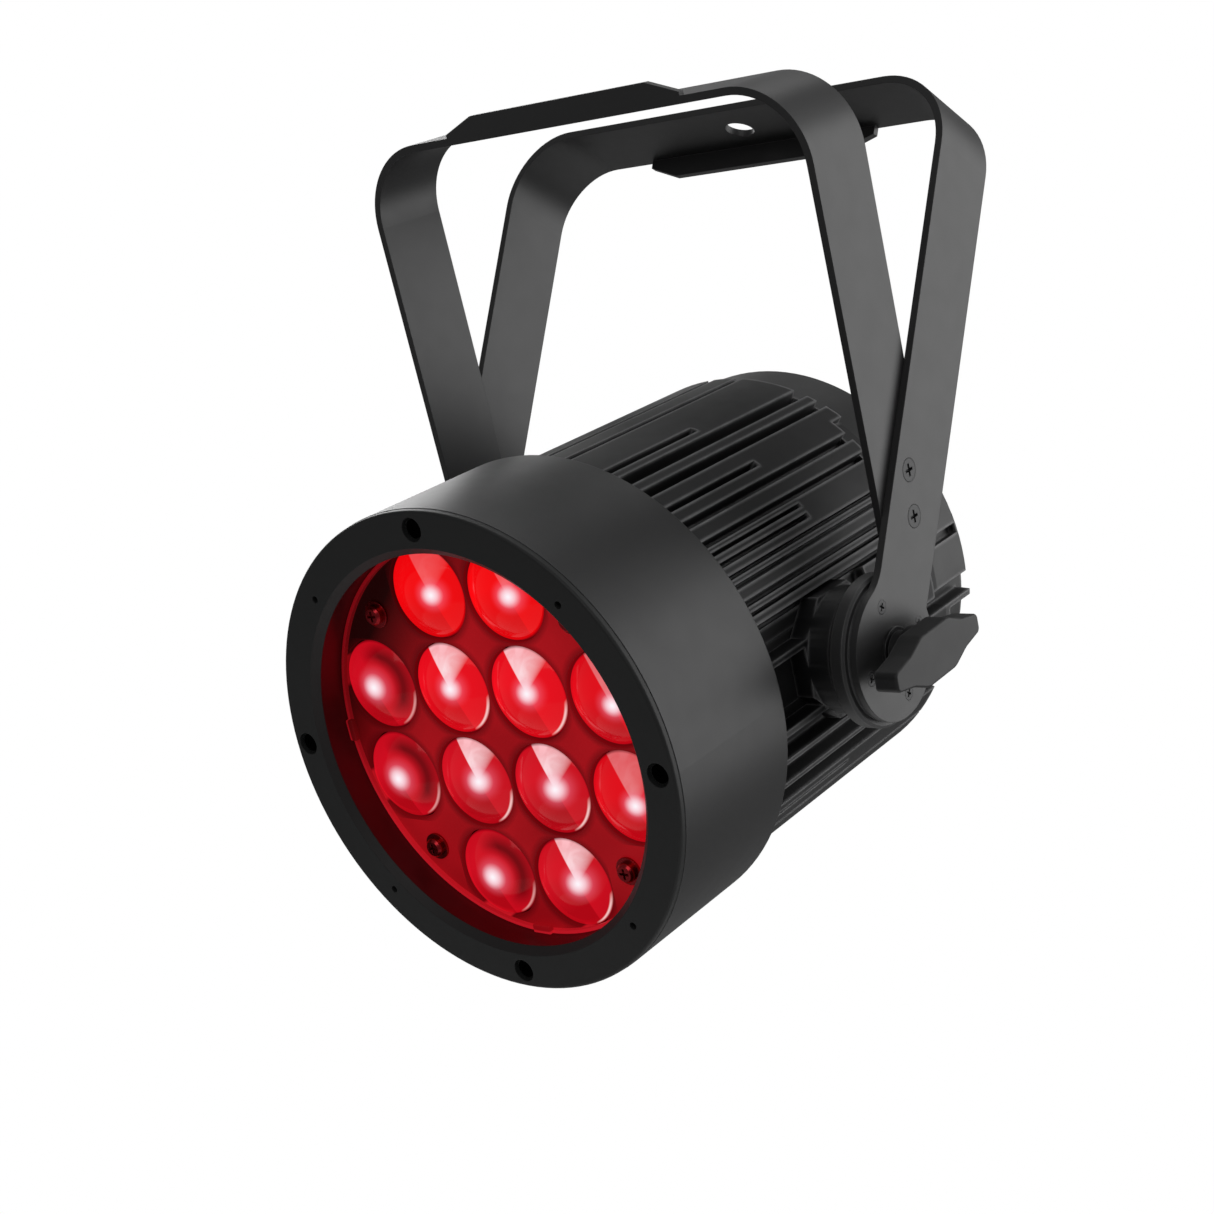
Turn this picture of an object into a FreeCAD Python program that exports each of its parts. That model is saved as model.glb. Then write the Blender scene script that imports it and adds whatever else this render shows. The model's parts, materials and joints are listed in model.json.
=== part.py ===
import FreeCAD, Part
import math
import os
import re
import Sketcher

# An LED stage par light: a finned lamp head that tilts in a double-strap yoke.
# Row frame: +Z up, +X to the right, lamp facing -Y and downwards. The origin is the centre of the
# hanging hole, on the outer face of the yoke's rear strap.

DIMENSIONS = {
    # yoke straps
    "lamp_tilt": 19.16,
    "rear_strap_lean": 14.25,
    "front_strap_lean": 20.37,
    "strap_width": 36.0,
    "strap_thickness": 3.0,
    "strap_bend": 32.0,
    "rear_strap_half_span": 115.4,
    "rear_strap_reach": 231.2,
    "front_strap_reach": 171.3,
    "front_strap_tail": 10.0,
    "strap_crossing": 53.0,
    "pivot_cheek_radius": 27.5,
    "cheek_blend": 20.0,
    "hanging_hole_radius": 6.5,
    "lip_length": 120.0,
    "rear_lip_depth": 12.2,
    "front_lip_depth": 10.0,
    "lip_chamfer_run": 15.0,
    "lip_chamfer_rise": 5.5,
    "strap_screw_radius": 2.5,
    "strap_screw_head_radius": 4.6,
    "strap_screw_pitch": 18.1,
    "strap_screw_lean": 13.1,
    "strap_hole_radius": 2.75,
    "strap_screw_sink": 2.0,
    "strap_nut_flat": 8.0,
    "strap_nut_height": 4.0,
    "strap_screw_length": 9.0,
    "strap_tail_corner": 6.0,
    # pivots and knobs
    "spacer_radius": 30.0,
    "spacer_thickness": 6.8,
    "spacer_step_radius": 27.0,
    "spacer_step": 1.2,
    "spacer_chamfer": 1.0,
    "friction_radius": 23.0,
    "friction_thickness": 1.5,
    "stud_radius": 4.0,
    "stud_hole_radius": 4.3,
    "stud_length": 38.0,
    "stud_end": 128.0,
    "spacer_screw_circle": 19.5,
    "spacer_screw_radius": 1.5,
    "spacer_screw_head_radius": 2.9,
    "spacer_screw_sink": 1.4,
    "spacer_screw_length": 9.0,
    "boss_radius": 25.0,
    "boss_seat": 84.0,
    "boss_base_height": 8.0,
    "boss_face": 102.6,
    "boss_edge": 1.5,
    "boss_rib_width": 2.6,
    "boss_upper_rib": 11.5,
    "boss_lower_rib": -16.5,
    "insert_radius": 8.0,
    "insert_bore_radius": 4.05,
    "boss_screw_radius": 2.0,
    "boss_screw_spread": 16.0,
    "boss_screw_head_radius": 3.4,
    "boss_screw_head_height": 2.4,
    "boss_screw_length": 13.0,
    "knob_tip_reach": 31.5,
    "knob_tip_half_width": 3.7,
    "knob_shoulder_reach": 20.0,
    "knob_shoulder_half_width": 6.0,
    "knob_waist_reach": 10.5,
    "knob_waist_half_width": 10.2,
    "knob_tip_round": 2.4,
    "knob_flank_round": 9.0,
    "knob_face_round": 1.0,
    "knob_flare_radius": 10.2,
    "knob_flare_height": 4.0,
    "knob_flare_round": 2.0,
    "knob_washer_gap": 0.3,
    "knob_thickness": 9.6,
    "knob_collar_radius": 8.0,
    "knob_face": 134.6,
    "knob_turn": 19.7,
    "knob_washer_radius": 9.5,
    "knob_washer_thickness": 1.2,
    # lamp head shell
    "front_face": 120.4,
    "bezel_radius": 97.2,
    "bezel_opening": 80.0,
    "bezel_thickness": 3.0,
    "bezel_bevel": 2.9,
    "bezel_edge": 1.2,
    "bezel_screw_circle": 90.0,
    "bezel_recess_radius": 4.7,
    "bezel_recess_depth": 2.3,
    "bezel_screw_radius": 2.0,
    "bezel_screw_head_radius": 3.6,
    "bezel_screw_socket": 1.7,
    "accessory_circle": 88.0,
    "accessory_hole_radius": 1.5,
    "accessory_relief_radius": 2.2,
    "barrel_radius": 97.4,
    "barrel_wall": 3.0,
    "barrel_rear": 51.8,
    "barrel_lip_radius": 85.4,
    "barrel_lip": 5.0,
    "sleeve_radius": 84.6,
    "sleeve_bore": 82.6,
    "base_plate_front": 60.0,
    "base_plate_rear": 46.0,
    "fin_radius": 91.5,
    "slot_floor_radius": 84.5,
    "rear_shell_radius": 88.0,
    "housing_bore": 80.0,
    "housing_rear": 107.0,
    "housing_edge": 2.0,
    "crown_fin_end": 80.0,
    "side_fin_end": 72.0,
    "low_fin_end": 84.0,
    "tail_fin_end": 101.5,
    "short_slot_end": 15.0,
    "cheek_slot_end": 104.5,
    "boss_recess_end": 28.0,
    "panel_boss_radius": 5.0,
    "panel_boss_depth": 14.0,
    "panel_radius": 82.0,
    "panel_recess": 2.5,
    "panel_thickness": 2.0,
    # zoom optics
    "lens_pitch": 39.3,
    "lens_radius": 18.6,
    "lens_edge": 3.0,
    "lens_crown": 8.0,
    "lens_hole_radius": 19.2,
    "lens_plate_radius": 81.9,
    "lens_plate_front": 102.4,
    "lens_plate_thickness": 3.0,
    "lens_plate_rim": 1.6,
    "lens_plate_rim_width": 1.5,
    "lens_rise": 1.5,
    "lens_tube_radius": 18.4,
    "lens_tube_bore": 16.9,
    "lens_screw_offset": 50.0,
    "lens_screw_radius": 2.0,
    "lens_screw_head_radius": 4.0,
    "lens_washer_radius": 5.6,
    "lens_washer_thickness": 1.0,
    "lens_screw_head_height": 2.6,
    "lens_screw_length": 11.0,
    "carriage_front": 84.0,
    "carriage_thickness": 2.0,
    "carriage_radius": 81.4,
    "carriage_post_radius": 4.0,
    "guide_offset": 39.3,
    "guide_radius": 3.0,
    "guide_tip": 88.0,
    "nut_radius": 7.4,
    "nut_length": 12.0,
    "nut_neck_radius": 5.8,
    "nut_flange": 2.4,
    "running_fit": 0.05,
    "led_board_radius": 81.6,
    "led_board_thickness": 1.6,
    "led_half_width": 4.0,
    "led_dome_radius": 3.0,
    "motor_radius": 14.0,
    "motor_length": 20.0,
    "motor_tail": 2.5,
    "led_base_height": 1.2,
    # fan and electronics
    "fan_half_width": 40.0,
    "fan_depth": 25.0,
    "fan_front": 11.0,
    "fan_bore": 38.0,
    "fan_blade_tip": 36.5,
    "fan_hub_radius": 15.0,
    "fan_axle_radius": 2.0,
    "fan_corner": 35.8,
    "fan_hole_radius": 2.2,
    "fan_web": 2.5,
    "fan_foot_radius": 4.0,
    "fan_blade_thickness": 1.6,
    "fan_blade_chord": 20.0,
    "fan_blade_pitch": 38.0,
    "fan_screw_head_radius": 3.6,
    "fan_screw_head_height": 2.4,
    "fan_screw_radius": 2.1,
    "tray_radius": 72.0,
    "tray_front": -26.0,
    "tray_thickness": 2.0,
    "supply_length": 116.0,
    "supply_width": 64.0,
    "supply_height": 36.0,
    "supply_vent_width": 3.0,
    "supply_vent_length": 40.0,
    "supply_vent_pitch": 8.0,
    "tray_cutout_radius": 9.0,
    "tray_cutout_offset": 52.0,
    "tray_post_radius": 3.2,
    "board_thickness": 1.6,
    "driver_board_width": 60.0,
    "driver_board_gap": 3.0,
    "driver_chip_width": 12.0,
    "driver_chip_height": 5.5,
    "driver_chip_pitch": 18.0,
    # rear panel fittings
    "window_width": 46.0,
    "window_height": 18.0,
    "window_centre": 44.0,
    "button_pitch": 19.0,
    "button_row": 20.0,
    "button_radius": 4.2,
    "button_height": 2.4,
    "button_gap": 0.3,
    "button_edge": 0.8,
    "button_flange": 1.2,
    "window_thickness": 1.6,
    "display_width": 52.0,
    "display_height": 24.0,
    "display_depth": 4.6,
    "display_view_width": 40.0,
    "display_view_height": 13.0,
    "control_board_width": 80.0,
    "control_board_height": 56.0,
    "control_board_row": 33.0,
    "control_board_gap": 5.5,
    "control_chip_width": 9.0,
    "control_chip_pitch": 22.0,
    "control_chip_row": 40.0,
    "switch_width": 6.0,
    "switch_height": 2.5,
    "plunger_radius": 1.6,
    "plunger_height": 0.4,
    "connector_pitch": 28.5,
    "connector_row": -28.0,
    "connector_barrel": 11.8,
    "connector_bore": 9.5,
    "connector_depth": 24.0,
    "flange_width": 26.0,
    "flange_height": 31.0,
    "flange_thickness": 2.0,
    "flange_corner": 3.0,
    "flange_screw_across": 9.6,
    "flange_screw_up": 12.2,
    "collar_height": 1.4,
    "connector_floor": 14.0,
    "power_core_radius": 5.2,
    "power_core_height": 6.0,
    "power_blade_circle": 3.0,
    "power_blade_width": 1.2,
    "power_blade_height": 2.6,
    "power_blade_depth": 4.0,
    "data_pin_circle": 4.8,
    "data_pin_radius": 1.2,
    "data_pin_height": 8.0,
    "fuse_radius": 6.5,
    "fuse_row": -62.0,
    "fuse_length": 26.0,
    "fuse_collar": 2.0,
    "fuse_wall": 1.4,
    "fuse_cap_length": 20.0,
    "fuse_cap_rise": 3.0,
    "eye_hole_radius": 6.0,
    "eye_width": 24.0,
    "eye_reach": 24.0,
    "eye_row": 66.0,
    "eye_thickness": 3.0,
    "eye_foot": 2.5,
    "eye_foot_depth": 12.0,
    "eye_screw_spread": 8.0,
    "eye_screw_drop": 7.5,
    "panel_screw_circle": 76.0,
    "small_screw_radius": 1.5,
    "small_screw_head_radius": 2.9,
    "small_screw_head_height": 1.7,
    "small_screw_length": 8.0,
    "vent_pitch": 6.0,
    "vent_width": 2.6,
    "vent_height": 14.0,
}

Vector = FreeCAD.Vector
Rotation = FreeCAD.Rotation
document = FreeCAD.newDocument("ParLight")
sheet = document.addObject("Spreadsheet::Sheet", "Dimensions")
for row, (alias, number) in enumerate(DIMENSIONS.items(), start=1):
    sheet.set(f"A{row}", alias)
    sheet.set(f"B{row}", str(number))
    sheet.setAlias(f"B{row}", alias)
document.recompute()
parts = []


# ---------------------------------------------------------------------------------------------
# Helpers: sheet values, sketches, features and primitives
# ---------------------------------------------------------------------------------------------
def size(alias):
    """The sheet's value for one alias, in millimetres or degrees."""
    return float(getattr(sheet, alias))


def bind(target, name, amount):
    """Drive a property from the sheet when given an expression of aliases, else set the number."""
    if isinstance(amount, str):
        target.setExpression(name, re.sub(r"[a-z][a-z_]+", r"Dimensions.\g<0>", amount))
    elif name.startswith("."):
        target.setExpression(name, str(amount))
    else:
        setattr(target, name, amount)


def turned(axis, degrees):
    return Rotation(Vector(*axis), degrees)


def placed(point=(0, 0, 0), rotation=Rotation()):
    return FreeCAD.Placement(Vector(*point), rotation)


def register(item, label, placement):
    """Make a finished document object one of the exported pieces."""
    item.Label = label
    item.Placement = placement
    parts.append(item)
    return item


def new_body(label, placement):
    body = document.addObject("PartDesign::Body", label)
    body.AllowCompound = True
    return register(body, label, placement)


def origin_plane(body, role):
    return next(item for item in body.Origin.OriginFeatures if item.Role == role)


def new_sketch(body, name, lift=0.0, role="XY_Plane"):
    sketch = body.newObject("Sketcher::SketchObject", name)
    sketch.AttachmentSupport = [(origin_plane(body, role), "")]
    sketch.MapMode = "FlatFace"
    bind(sketch, ".AttachmentOffset.Base.z", lift)
    return sketch


def constrain(sketch, kind, places, amount):
    """Add one dimension to a sketch and drive it from the sheet."""
    start = amount if not isinstance(amount, str) else 1.0
    index = sketch.addConstraint(Sketcher.Constraint(kind, *places, start))
    if isinstance(amount, str):
        bind(sketch, f".Constraints[{index}]", amount)


def circle(sketch, radius, centre=(0.0, 0.0)):
    index = sketch.addGeometry(Part.Circle(Vector(centre[0], centre[1], 0), Vector(0, 0, 1), 1.0))
    if centre == (0.0, 0.0):
        sketch.addConstraint(Sketcher.Constraint("Coincident", index, 3, -1, 1))
    else:
        sketch.addConstraint(Sketcher.Constraint("DistanceX", -1, 1, index, 3, centre[0]))
        sketch.addConstraint(Sketcher.Constraint("DistanceY", -1, 1, index, 3, centre[1]))
    constrain(sketch, "Radius", (index,), radius)


def outline(sketch, points):
    """A closed polygon through the given points."""
    first = sketch.GeometryCount
    count = len(points)
    for number, point in enumerate(points):
        start = Vector(point[0], point[1], 0)
        following = points[(number + 1) % count]
        sketch.addGeometry(Part.LineSegment(start, Vector(following[0], following[1], 0)))
    for number in range(count):
        joined = first + (number + 1) % count
        sketch.addConstraint(Sketcher.Constraint("Coincident", first + number, 2, joined, 1))


def rectangle(sketch, width, height, centre=(0.0, 0.0)):
    """A rectangle about a centre, with its width and height driven by the sheet."""
    half_width, half_height = 5.0, 5.0
    x, y = centre
    first = sketch.GeometryCount
    outline(sketch, [
        (x - half_width, y - half_height),
        (x + half_width, y - half_height),
        (x + half_width, y + half_height),
        (x - half_width, y + half_height),
    ])
    for step, kind in enumerate(("Horizontal", "Vertical", "Horizontal", "Vertical")):
        sketch.addConstraint(Sketcher.Constraint(kind, first + step))
    middle = sketch.addGeometry(Part.Point(Vector(x, y, 0)), True)
    sketch.addConstraint(Sketcher.Constraint("Symmetric", first, 1, first + 1, 2, middle, 1))
    sketch.addConstraint(Sketcher.Constraint("DistanceX", -1, 1, middle, 1, x))
    sketch.addConstraint(Sketcher.Constraint("DistanceY", -1, 1, middle, 1, y))
    constrain(sketch, "DistanceX", (first, 1, first, 2), width)
    constrain(sketch, "DistanceY", (first + 1, 1, first + 1, 2), height)


def pad(body, sketch, length, midplane=False, downwards=False):
    feature = body.newObject("PartDesign::Pad", "Pad")
    feature.Profile = sketch
    feature.Midplane = midplane
    feature.Reversed = downwards
    bind(feature, "Length", length)
    document.recompute()
    return feature


def pocket(body, sketch, length, upwards=False, midplane=False):
    """Cut a sketch into the body, and make sure that something was cut."""
    before = body.Shape.Volume
    feature = body.newObject("PartDesign::Pocket", "Pocket")
    feature.Profile = sketch
    feature.Midplane = midplane
    feature.Reversed = upwards
    bind(feature, "Length", length)
    document.recompute()
    if body.Shape.Volume > before - 1e-3:
        raise RuntimeError(f"{body.Label}: {sketch.Label} cuts nothing")
    return feature


def edges_where(body, test):
    """Names of the body's edges whose middle point passes the test."""
    shape = body.Shape
    return [f"Edge{i}" for i, edge in enumerate(shape.Edges, start=1) if test(edge)]


def dress(body, kind, amount_name, amount, test):
    """A fillet or chamfer on the edges of the body's tip that pass the test."""
    tip = body.Tip
    feature = body.newObject(f"PartDesign::{kind}", kind)
    feature.Base = (tip, edges_where(tip, test))
    bind(feature, amount_name, amount)
    document.recompute()
    return feature


def fillet(body, radius, test):
    return dress(body, "Fillet", "Radius", radius, test)


def chamfer(body, width, test):
    return dress(body, "Chamfer", "Size", width, test)


def polar(body, features, count):
    """Repeat features around the body's own Z axis."""
    pattern = body.newObject("PartDesign::PolarPattern", "Pattern")
    pattern.Originals = features
    axis = next(item for item in body.Origin.OriginFeatures if item.Role == "Z_Axis")
    pattern.Axis = (axis, [""])
    pattern.Angle = 360.0
    pattern.Occurrences = count
    body.Tip = pattern
    document.recompute()


def is_circle(edge, radius, height=None):
    """Whether an edge is a full or part circle of this radius about local Z, at this height."""
    curve = edge.Curve
    if not isinstance(curve, Part.Circle) or abs(curve.Radius - radius) > 1e-3:
        return False
    return height is None or abs(curve.Center.z - height) < 1e-3


def cylinder(radius, height, base=(0, 0, 0), rotation=Rotation()):
    made = document.addObject("Part::Cylinder", "Cylinder")
    bind(made, "Radius", radius)
    bind(made, "Height", height)
    made.Placement = placed(base, rotation)
    return made


def cone(bottom, top, height, base=(0, 0, 0)):
    made = document.addObject("Part::Cone", "Cone")
    bind(made, "Radius1", bottom)
    bind(made, "Radius2", top)
    bind(made, "Height", height)
    made.Placement = placed(base)
    return made


def block(length, width, height, centre=(0, 0, 0), rotation=Rotation()):
    """A box about a centre in X and Y, standing on its centre's Z."""
    made = document.addObject("Part::Box", "Box")
    bind(made, "Length", length)
    bind(made, "Width", width)
    bind(made, "Height", height)
    document.recompute()
    corner = rotation.multVec(Vector(-made.Length.Value / 2, -made.Width.Value / 2, 0))
    made.Placement = FreeCAD.Placement(Vector(*centre) + corner, rotation)
    return made


def fuse(*shapes):
    made = document.addObject("Part::MultiFuse", "Fusion")
    made.Shapes = list(shapes)
    return made


def cut(base, *tools):
    made = document.addObject("Part::Cut", "Cut")
    made.Base = base
    made.Tool = tools[0] if len(tools) == 1 else fuse(*tools)
    return made


def group(*shapes):
    """Separate solids that share one node."""
    made = document.addObject("Part::Compound", "Group")
    made.Links = list(shapes)
    return made


def moved(item, point=(0, 0, 0), rotation=Rotation()):
    """Put a finished solid somewhere else before it is grouped."""
    item.Placement = placed(point, rotation).multiply(item.Placement)
    return item


def around(count, radius, first=0.0):
    """Points spread evenly on a circle, counted from local X."""
    angles = [math.radians(first + 360.0 * step / count) for step in range(count)]
    return [(radius * math.cos(angle), radius * math.sin(angle)) for angle in angles]


def cross_screw(head_radius, head_height, shank_radius, shank_length, countersunk=False):
    """A cross-recessed screw along local Z: its head's underside is at zero, its shank goes down."""
    if countersunk:
        head = cone(shank_radius, head_radius, head_height)
    else:
        crown = head_height * 0.4
        head = fuse(
            cylinder(head_radius, head_height - crown),
            cone(head_radius, head_radius * 0.78, crown, (0, 0, head_height - crown)),
        )
    shank = cylinder(shank_radius, shank_length, (0, 0, -shank_length))
    recess_depth = head_height * 0.6
    slots = [
        block(head_radius * 1.1, head_radius * 0.26, recess_depth + 1.0,
              (0, 0, head_height - recess_depth), turned((0, 0, 1), angle))
        for angle in (0, 90)
    ]
    return cut(fuse(head, shank), *slots)


# ---------------------------------------------------------------------------------------------
# Frames: each family of pieces is drawn in its own simple frame and placed from there
# ---------------------------------------------------------------------------------------------
rear_lean = math.radians(size("rear_strap_lean"))
rear_reach = size("rear_strap_reach")
pivot = (0, -rear_reach * math.sin(rear_lean), -rear_reach * math.cos(rear_lean))
crossing = (
    0,
    pivot[1] + size("strap_crossing") * math.sin(rear_lean),
    pivot[2] + size("strap_crossing") * math.cos(rear_lean),
)
# Strap frames: Z along the arms towards the top plate, Y to the back, X to the right.
REAR_STRAP = placed(pivot, turned((1, 0, 0), -size("rear_strap_lean")))
FRONT_STRAP = placed(crossing, turned((1, 0, 0), size("front_strap_lean")))
# Head frame: origin on the tilt axis, Z forwards along the light, Y up, X to the right.
HEAD = placed(pivot, turned((1, 0, 0), 90.0 + size("lamp_tilt")))
# Side frames: Z outwards along the tilt axis, with the strap's lean kept.
SIDES = {
    side: placed(pivot, turned((1, 0, 0), -size("rear_strap_lean")) * turned((0, 1, 0), turn))
    for side, turn in (("right", 90), ("left", -90))
}
HEAD_SIDES = {
    side: HEAD.multiply(placed((0, 0, 0), turned((0, 1, 0), turn)))
    for side, turn in (("right", 90), ("left", -90))
}
SIGN = {"right": 1, "left": -1}

half_span = size("rear_strap_half_span")
thickness = size("strap_thickness")
half_width = size("strap_width") / 2
front_half_span = half_span - thickness


# ---------------------------------------------------------------------------------------------
# Yoke: two bent straps, screwed together where they cross
# ---------------------------------------------------------------------------------------------
def bent_strap(label, placement, span, reach, tail):
    """A U of flat strap, open downwards, its arms ending a tail below local zero."""
    body = new_body(label, placement)
    outer = new_sketch(body, "OuterOutline", role="XZ_Plane")
    rectangle(outer, 2 * span, reach + tail, (0, (reach - tail) / 2))
    pad(body, outer, "strap_width", midplane=True)
    inner = new_sketch(body, "InnerOutline", role="XZ_Plane")
    inner_top = reach - thickness
    rectangle(inner, 2 * (span - thickness), inner_top + tail, (0, (inner_top - tail) / 2))
    pocket(body, inner, "strap_width + 2", midplane=True)

    def corner(across, height):
        return lambda edge: (
            abs(abs(edge.CenterOfMass.x) - across) < 1e-3 and abs(edge.CenterOfMass.z - height) < 1e-3
            and edge.Length > size("strap_width") - 1
        )

    fillet(body, "strap_bend", corner(span, reach))
    fillet(body, "strap_bend - strap_thickness", corner(span - thickness, inner_top))
    return body


def cross_holes(body, radius, places):
    """Holes through both arms, along the tilt axis."""
    holes = new_sketch(body, "ArmHoles", role="YZ_Plane")
    for place in places:
        circle(holes, radius, place)
    return pocket(body, holes, 2 * half_span + 10, midplane=True)


def lip(body, lift, edge, root):
    """A stiffening lip with chamfered corners, bent from one edge of the top plate."""
    sketch = new_sketch(body, "Lip", lift, "XZ_Plane")
    half = size("lip_length") / 2
    run = size("lip_chamfer_run")
    shoulder = edge - math.copysign(size("lip_chamfer_rise"), edge - root)
    outline(sketch, [
        (-half, root), (-half, shoulder), (-half + run, edge),
        (half - run, edge), (half, shoulder), (half, root),
    ])
    pad(body, sketch, "strap_thickness")


def screw_places(lean):
    """The two strap screws in a strap frame, as (Y, Z) counted from the crossing."""
    angle = math.radians(lean)
    pitch = size("strap_screw_pitch")
    return [(0.0, 0.0), (pitch * math.sin(angle), pitch * math.cos(angle))]


def build_rear_strap():
    body = bent_strap("yoke_rear_strap", REAR_STRAP, half_span, rear_reach, 0.0)
    for lift in (front_half_span, -half_span):
        cheek = new_sketch(body, "Cheek", lift, "YZ_Plane")
        circle(cheek, "pivot_cheek_radius")
        pad(body, cheek, "strap_thickness")
    fillet(body, "cheek_blend", lambda edge: (
        abs(edge.CenterOfMass.y + half_width) < 1e-2
        and 5 < edge.CenterOfMass.z < size("pivot_cheek_radius")
        and abs(edge.Length - thickness) < 1e-2
    ))
    lip(body, -half_width, rear_reach - size("rear_lip_depth"), rear_reach)
    hanging = new_sketch(body, "HangingHole", rear_reach + 1)
    circle(hanging, "hanging_hole_radius")
    pocket(body, hanging, "strap_thickness + 2")
    lean = -(size("rear_strap_lean") + size("strap_screw_lean"))
    raised = [(y, z + size("strap_crossing")) for y, z in screw_places(lean)]
    cross_holes(body, "stud_hole_radius", [(0.0, 0.0)])
    for radius, sink, places in (
        ("strap_hole_radius", "strap_screw_sink", raised),
        ("spacer_screw_radius", "spacer_screw_sink", around(4, size("spacer_screw_circle"), 45.0)),
    ):
        cross_holes(body, radius, places)
        chamfer(body, sink, lambda edge: (
            isinstance(edge.Curve, Part.Circle)
            and abs(edge.Curve.Radius - size(radius)) < 1e-3
            and abs(abs(edge.CenterOfMass.x) - half_span) < 1e-3
        ))


def build_front_strap():
    reach = size("front_strap_reach")
    tail = size("front_strap_tail")
    body = bent_strap("yoke_front_strap", FRONT_STRAP, front_half_span, reach, tail)
    root = reach - thickness
    lip(body, half_width - thickness, root + size("front_lip_depth"), root)
    fillet(body, "strap_tail_corner", lambda edge: (
        abs(edge.CenterOfMass.z + tail) < 1e-3
        and abs(abs(edge.CenterOfMass.y) - half_width) < 1e-3
        and abs(edge.Length - thickness) < 1e-2
    ))
    lean = size("front_strap_lean") - size("strap_screw_lean")
    cross_holes(body, "strap_hole_radius", screw_places(lean))


def build_strap_fasteners():
    lean = size("front_strap_lean") - size("strap_screw_lean")
    sink = size("strap_screw_sink") + 0.1
    screws = []
    nuts = []
    for sign in (1, -1):
        for y, z in screw_places(lean):
            screw = cross_screw(size("strap_screw_head_radius"), sink, "strap_screw_radius",
                                size("strap_screw_length"), countersunk=True)
            outwards = turned((0, 1, 0), 90 * sign)
            screws.append(moved(screw, (sign * (half_span - sink), y, z), outwards))
            prism = document.addObject("Part::Prism", "Hexagon")
            prism.Polygon = 6
            bind(prism, "Circumradius", size("strap_nut_flat") / math.sqrt(3))
            bind(prism, "Height", "strap_nut_height")
            nut = cut(prism, cylinder("strap_screw_radius + running_fit", "strap_nut_height"))
            inner_face = front_half_span - thickness - size("strap_nut_height")
            nuts.append(moved(nut, (sign * inner_face, y, z), outwards))
    register(group(*screws), "strap_screws", FRONT_STRAP)
    register(group(*nuts), "strap_nuts", FRONT_STRAP)


# ---------------------------------------------------------------------------------------------
# Pivots: spacer, friction washer and clamping knob on each side
# ---------------------------------------------------------------------------------------------
def build_spacer(side):
    body = new_body(f"pivot_spacer_{side}", SIDES[side])
    step_face = front_half_span - size("spacer_step")
    inner_face = step_face - size("spacer_thickness")
    disc = new_sketch(body, "Disc", inner_face)
    circle(disc, "spacer_radius")
    pad(body, disc, "spacer_thickness")
    chamfer(body, "spacer_chamfer", lambda edge: is_circle(edge, size("spacer_radius")))
    step = new_sketch(body, "Step", step_face)
    circle(step, "spacer_step_radius")
    pad(body, step, "spacer_step")
    holes = new_sketch(body, "Holes", front_half_span + 1)
    circle(holes, "stud_hole_radius")
    for place in around(4, size("spacer_screw_circle"), 45.0):
        circle(holes, "spacer_screw_radius", place)
    pocket(body, holes, "spacer_thickness + spacer_step + 2")


def build_pivot_rings():
    """The friction washers, the spacers' countersunk screws and the washers under the knobs."""
    spacer_face = front_half_span - size("spacer_step") - size("spacer_thickness")
    friction = []
    plain = []
    screws = []
    sink = size("spacer_screw_sink")
    for sign in (1, -1):
        outwards = turned((0, 1, 0), 90 * sign)
        ring = cut(
            cylinder("friction_radius", "friction_thickness"),
            cylinder("insert_radius + 0.5", "friction_thickness"),
        )
        friction.append(moved(ring, (sign * (spacer_face - size("friction_thickness")), 0, 0), outwards))
        washer = cut(
            cylinder("knob_washer_radius", "knob_washer_thickness"),
            cylinder("stud_hole_radius", "knob_washer_thickness"),
        )
        plain.append(moved(washer, (sign * half_span, 0, 0), outwards))
        for y, z in around(4, size("spacer_screw_circle"), 45.0):
            screw = cross_screw(size("spacer_screw_head_radius"), sink, "spacer_screw_radius",
                                size("spacer_screw_length") - sink, countersunk=True)
            screws.append(moved(screw, (sign * (half_span - sink), y, z), outwards))
    register(group(*friction), "friction_washers", REAR_STRAP)
    register(group(*plain), "knob_washers", REAR_STRAP)
    register(group(*screws), "spacer_screws", REAR_STRAP)


def knob_outline():
    """The wing's outline: narrow tips, hollow flanks and a full waist."""
    corner = [
        (size("knob_tip_reach"), size("knob_tip_half_width")),
        (size("knob_shoulder_reach"), size("knob_shoulder_half_width")),
        (size("knob_waist_reach"), size("knob_waist_half_width")),
    ]
    upper = corner + [(-x, y) for x, y in reversed(corner)]
    return upper + [(-x, -y) for x, y in upper]


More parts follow.
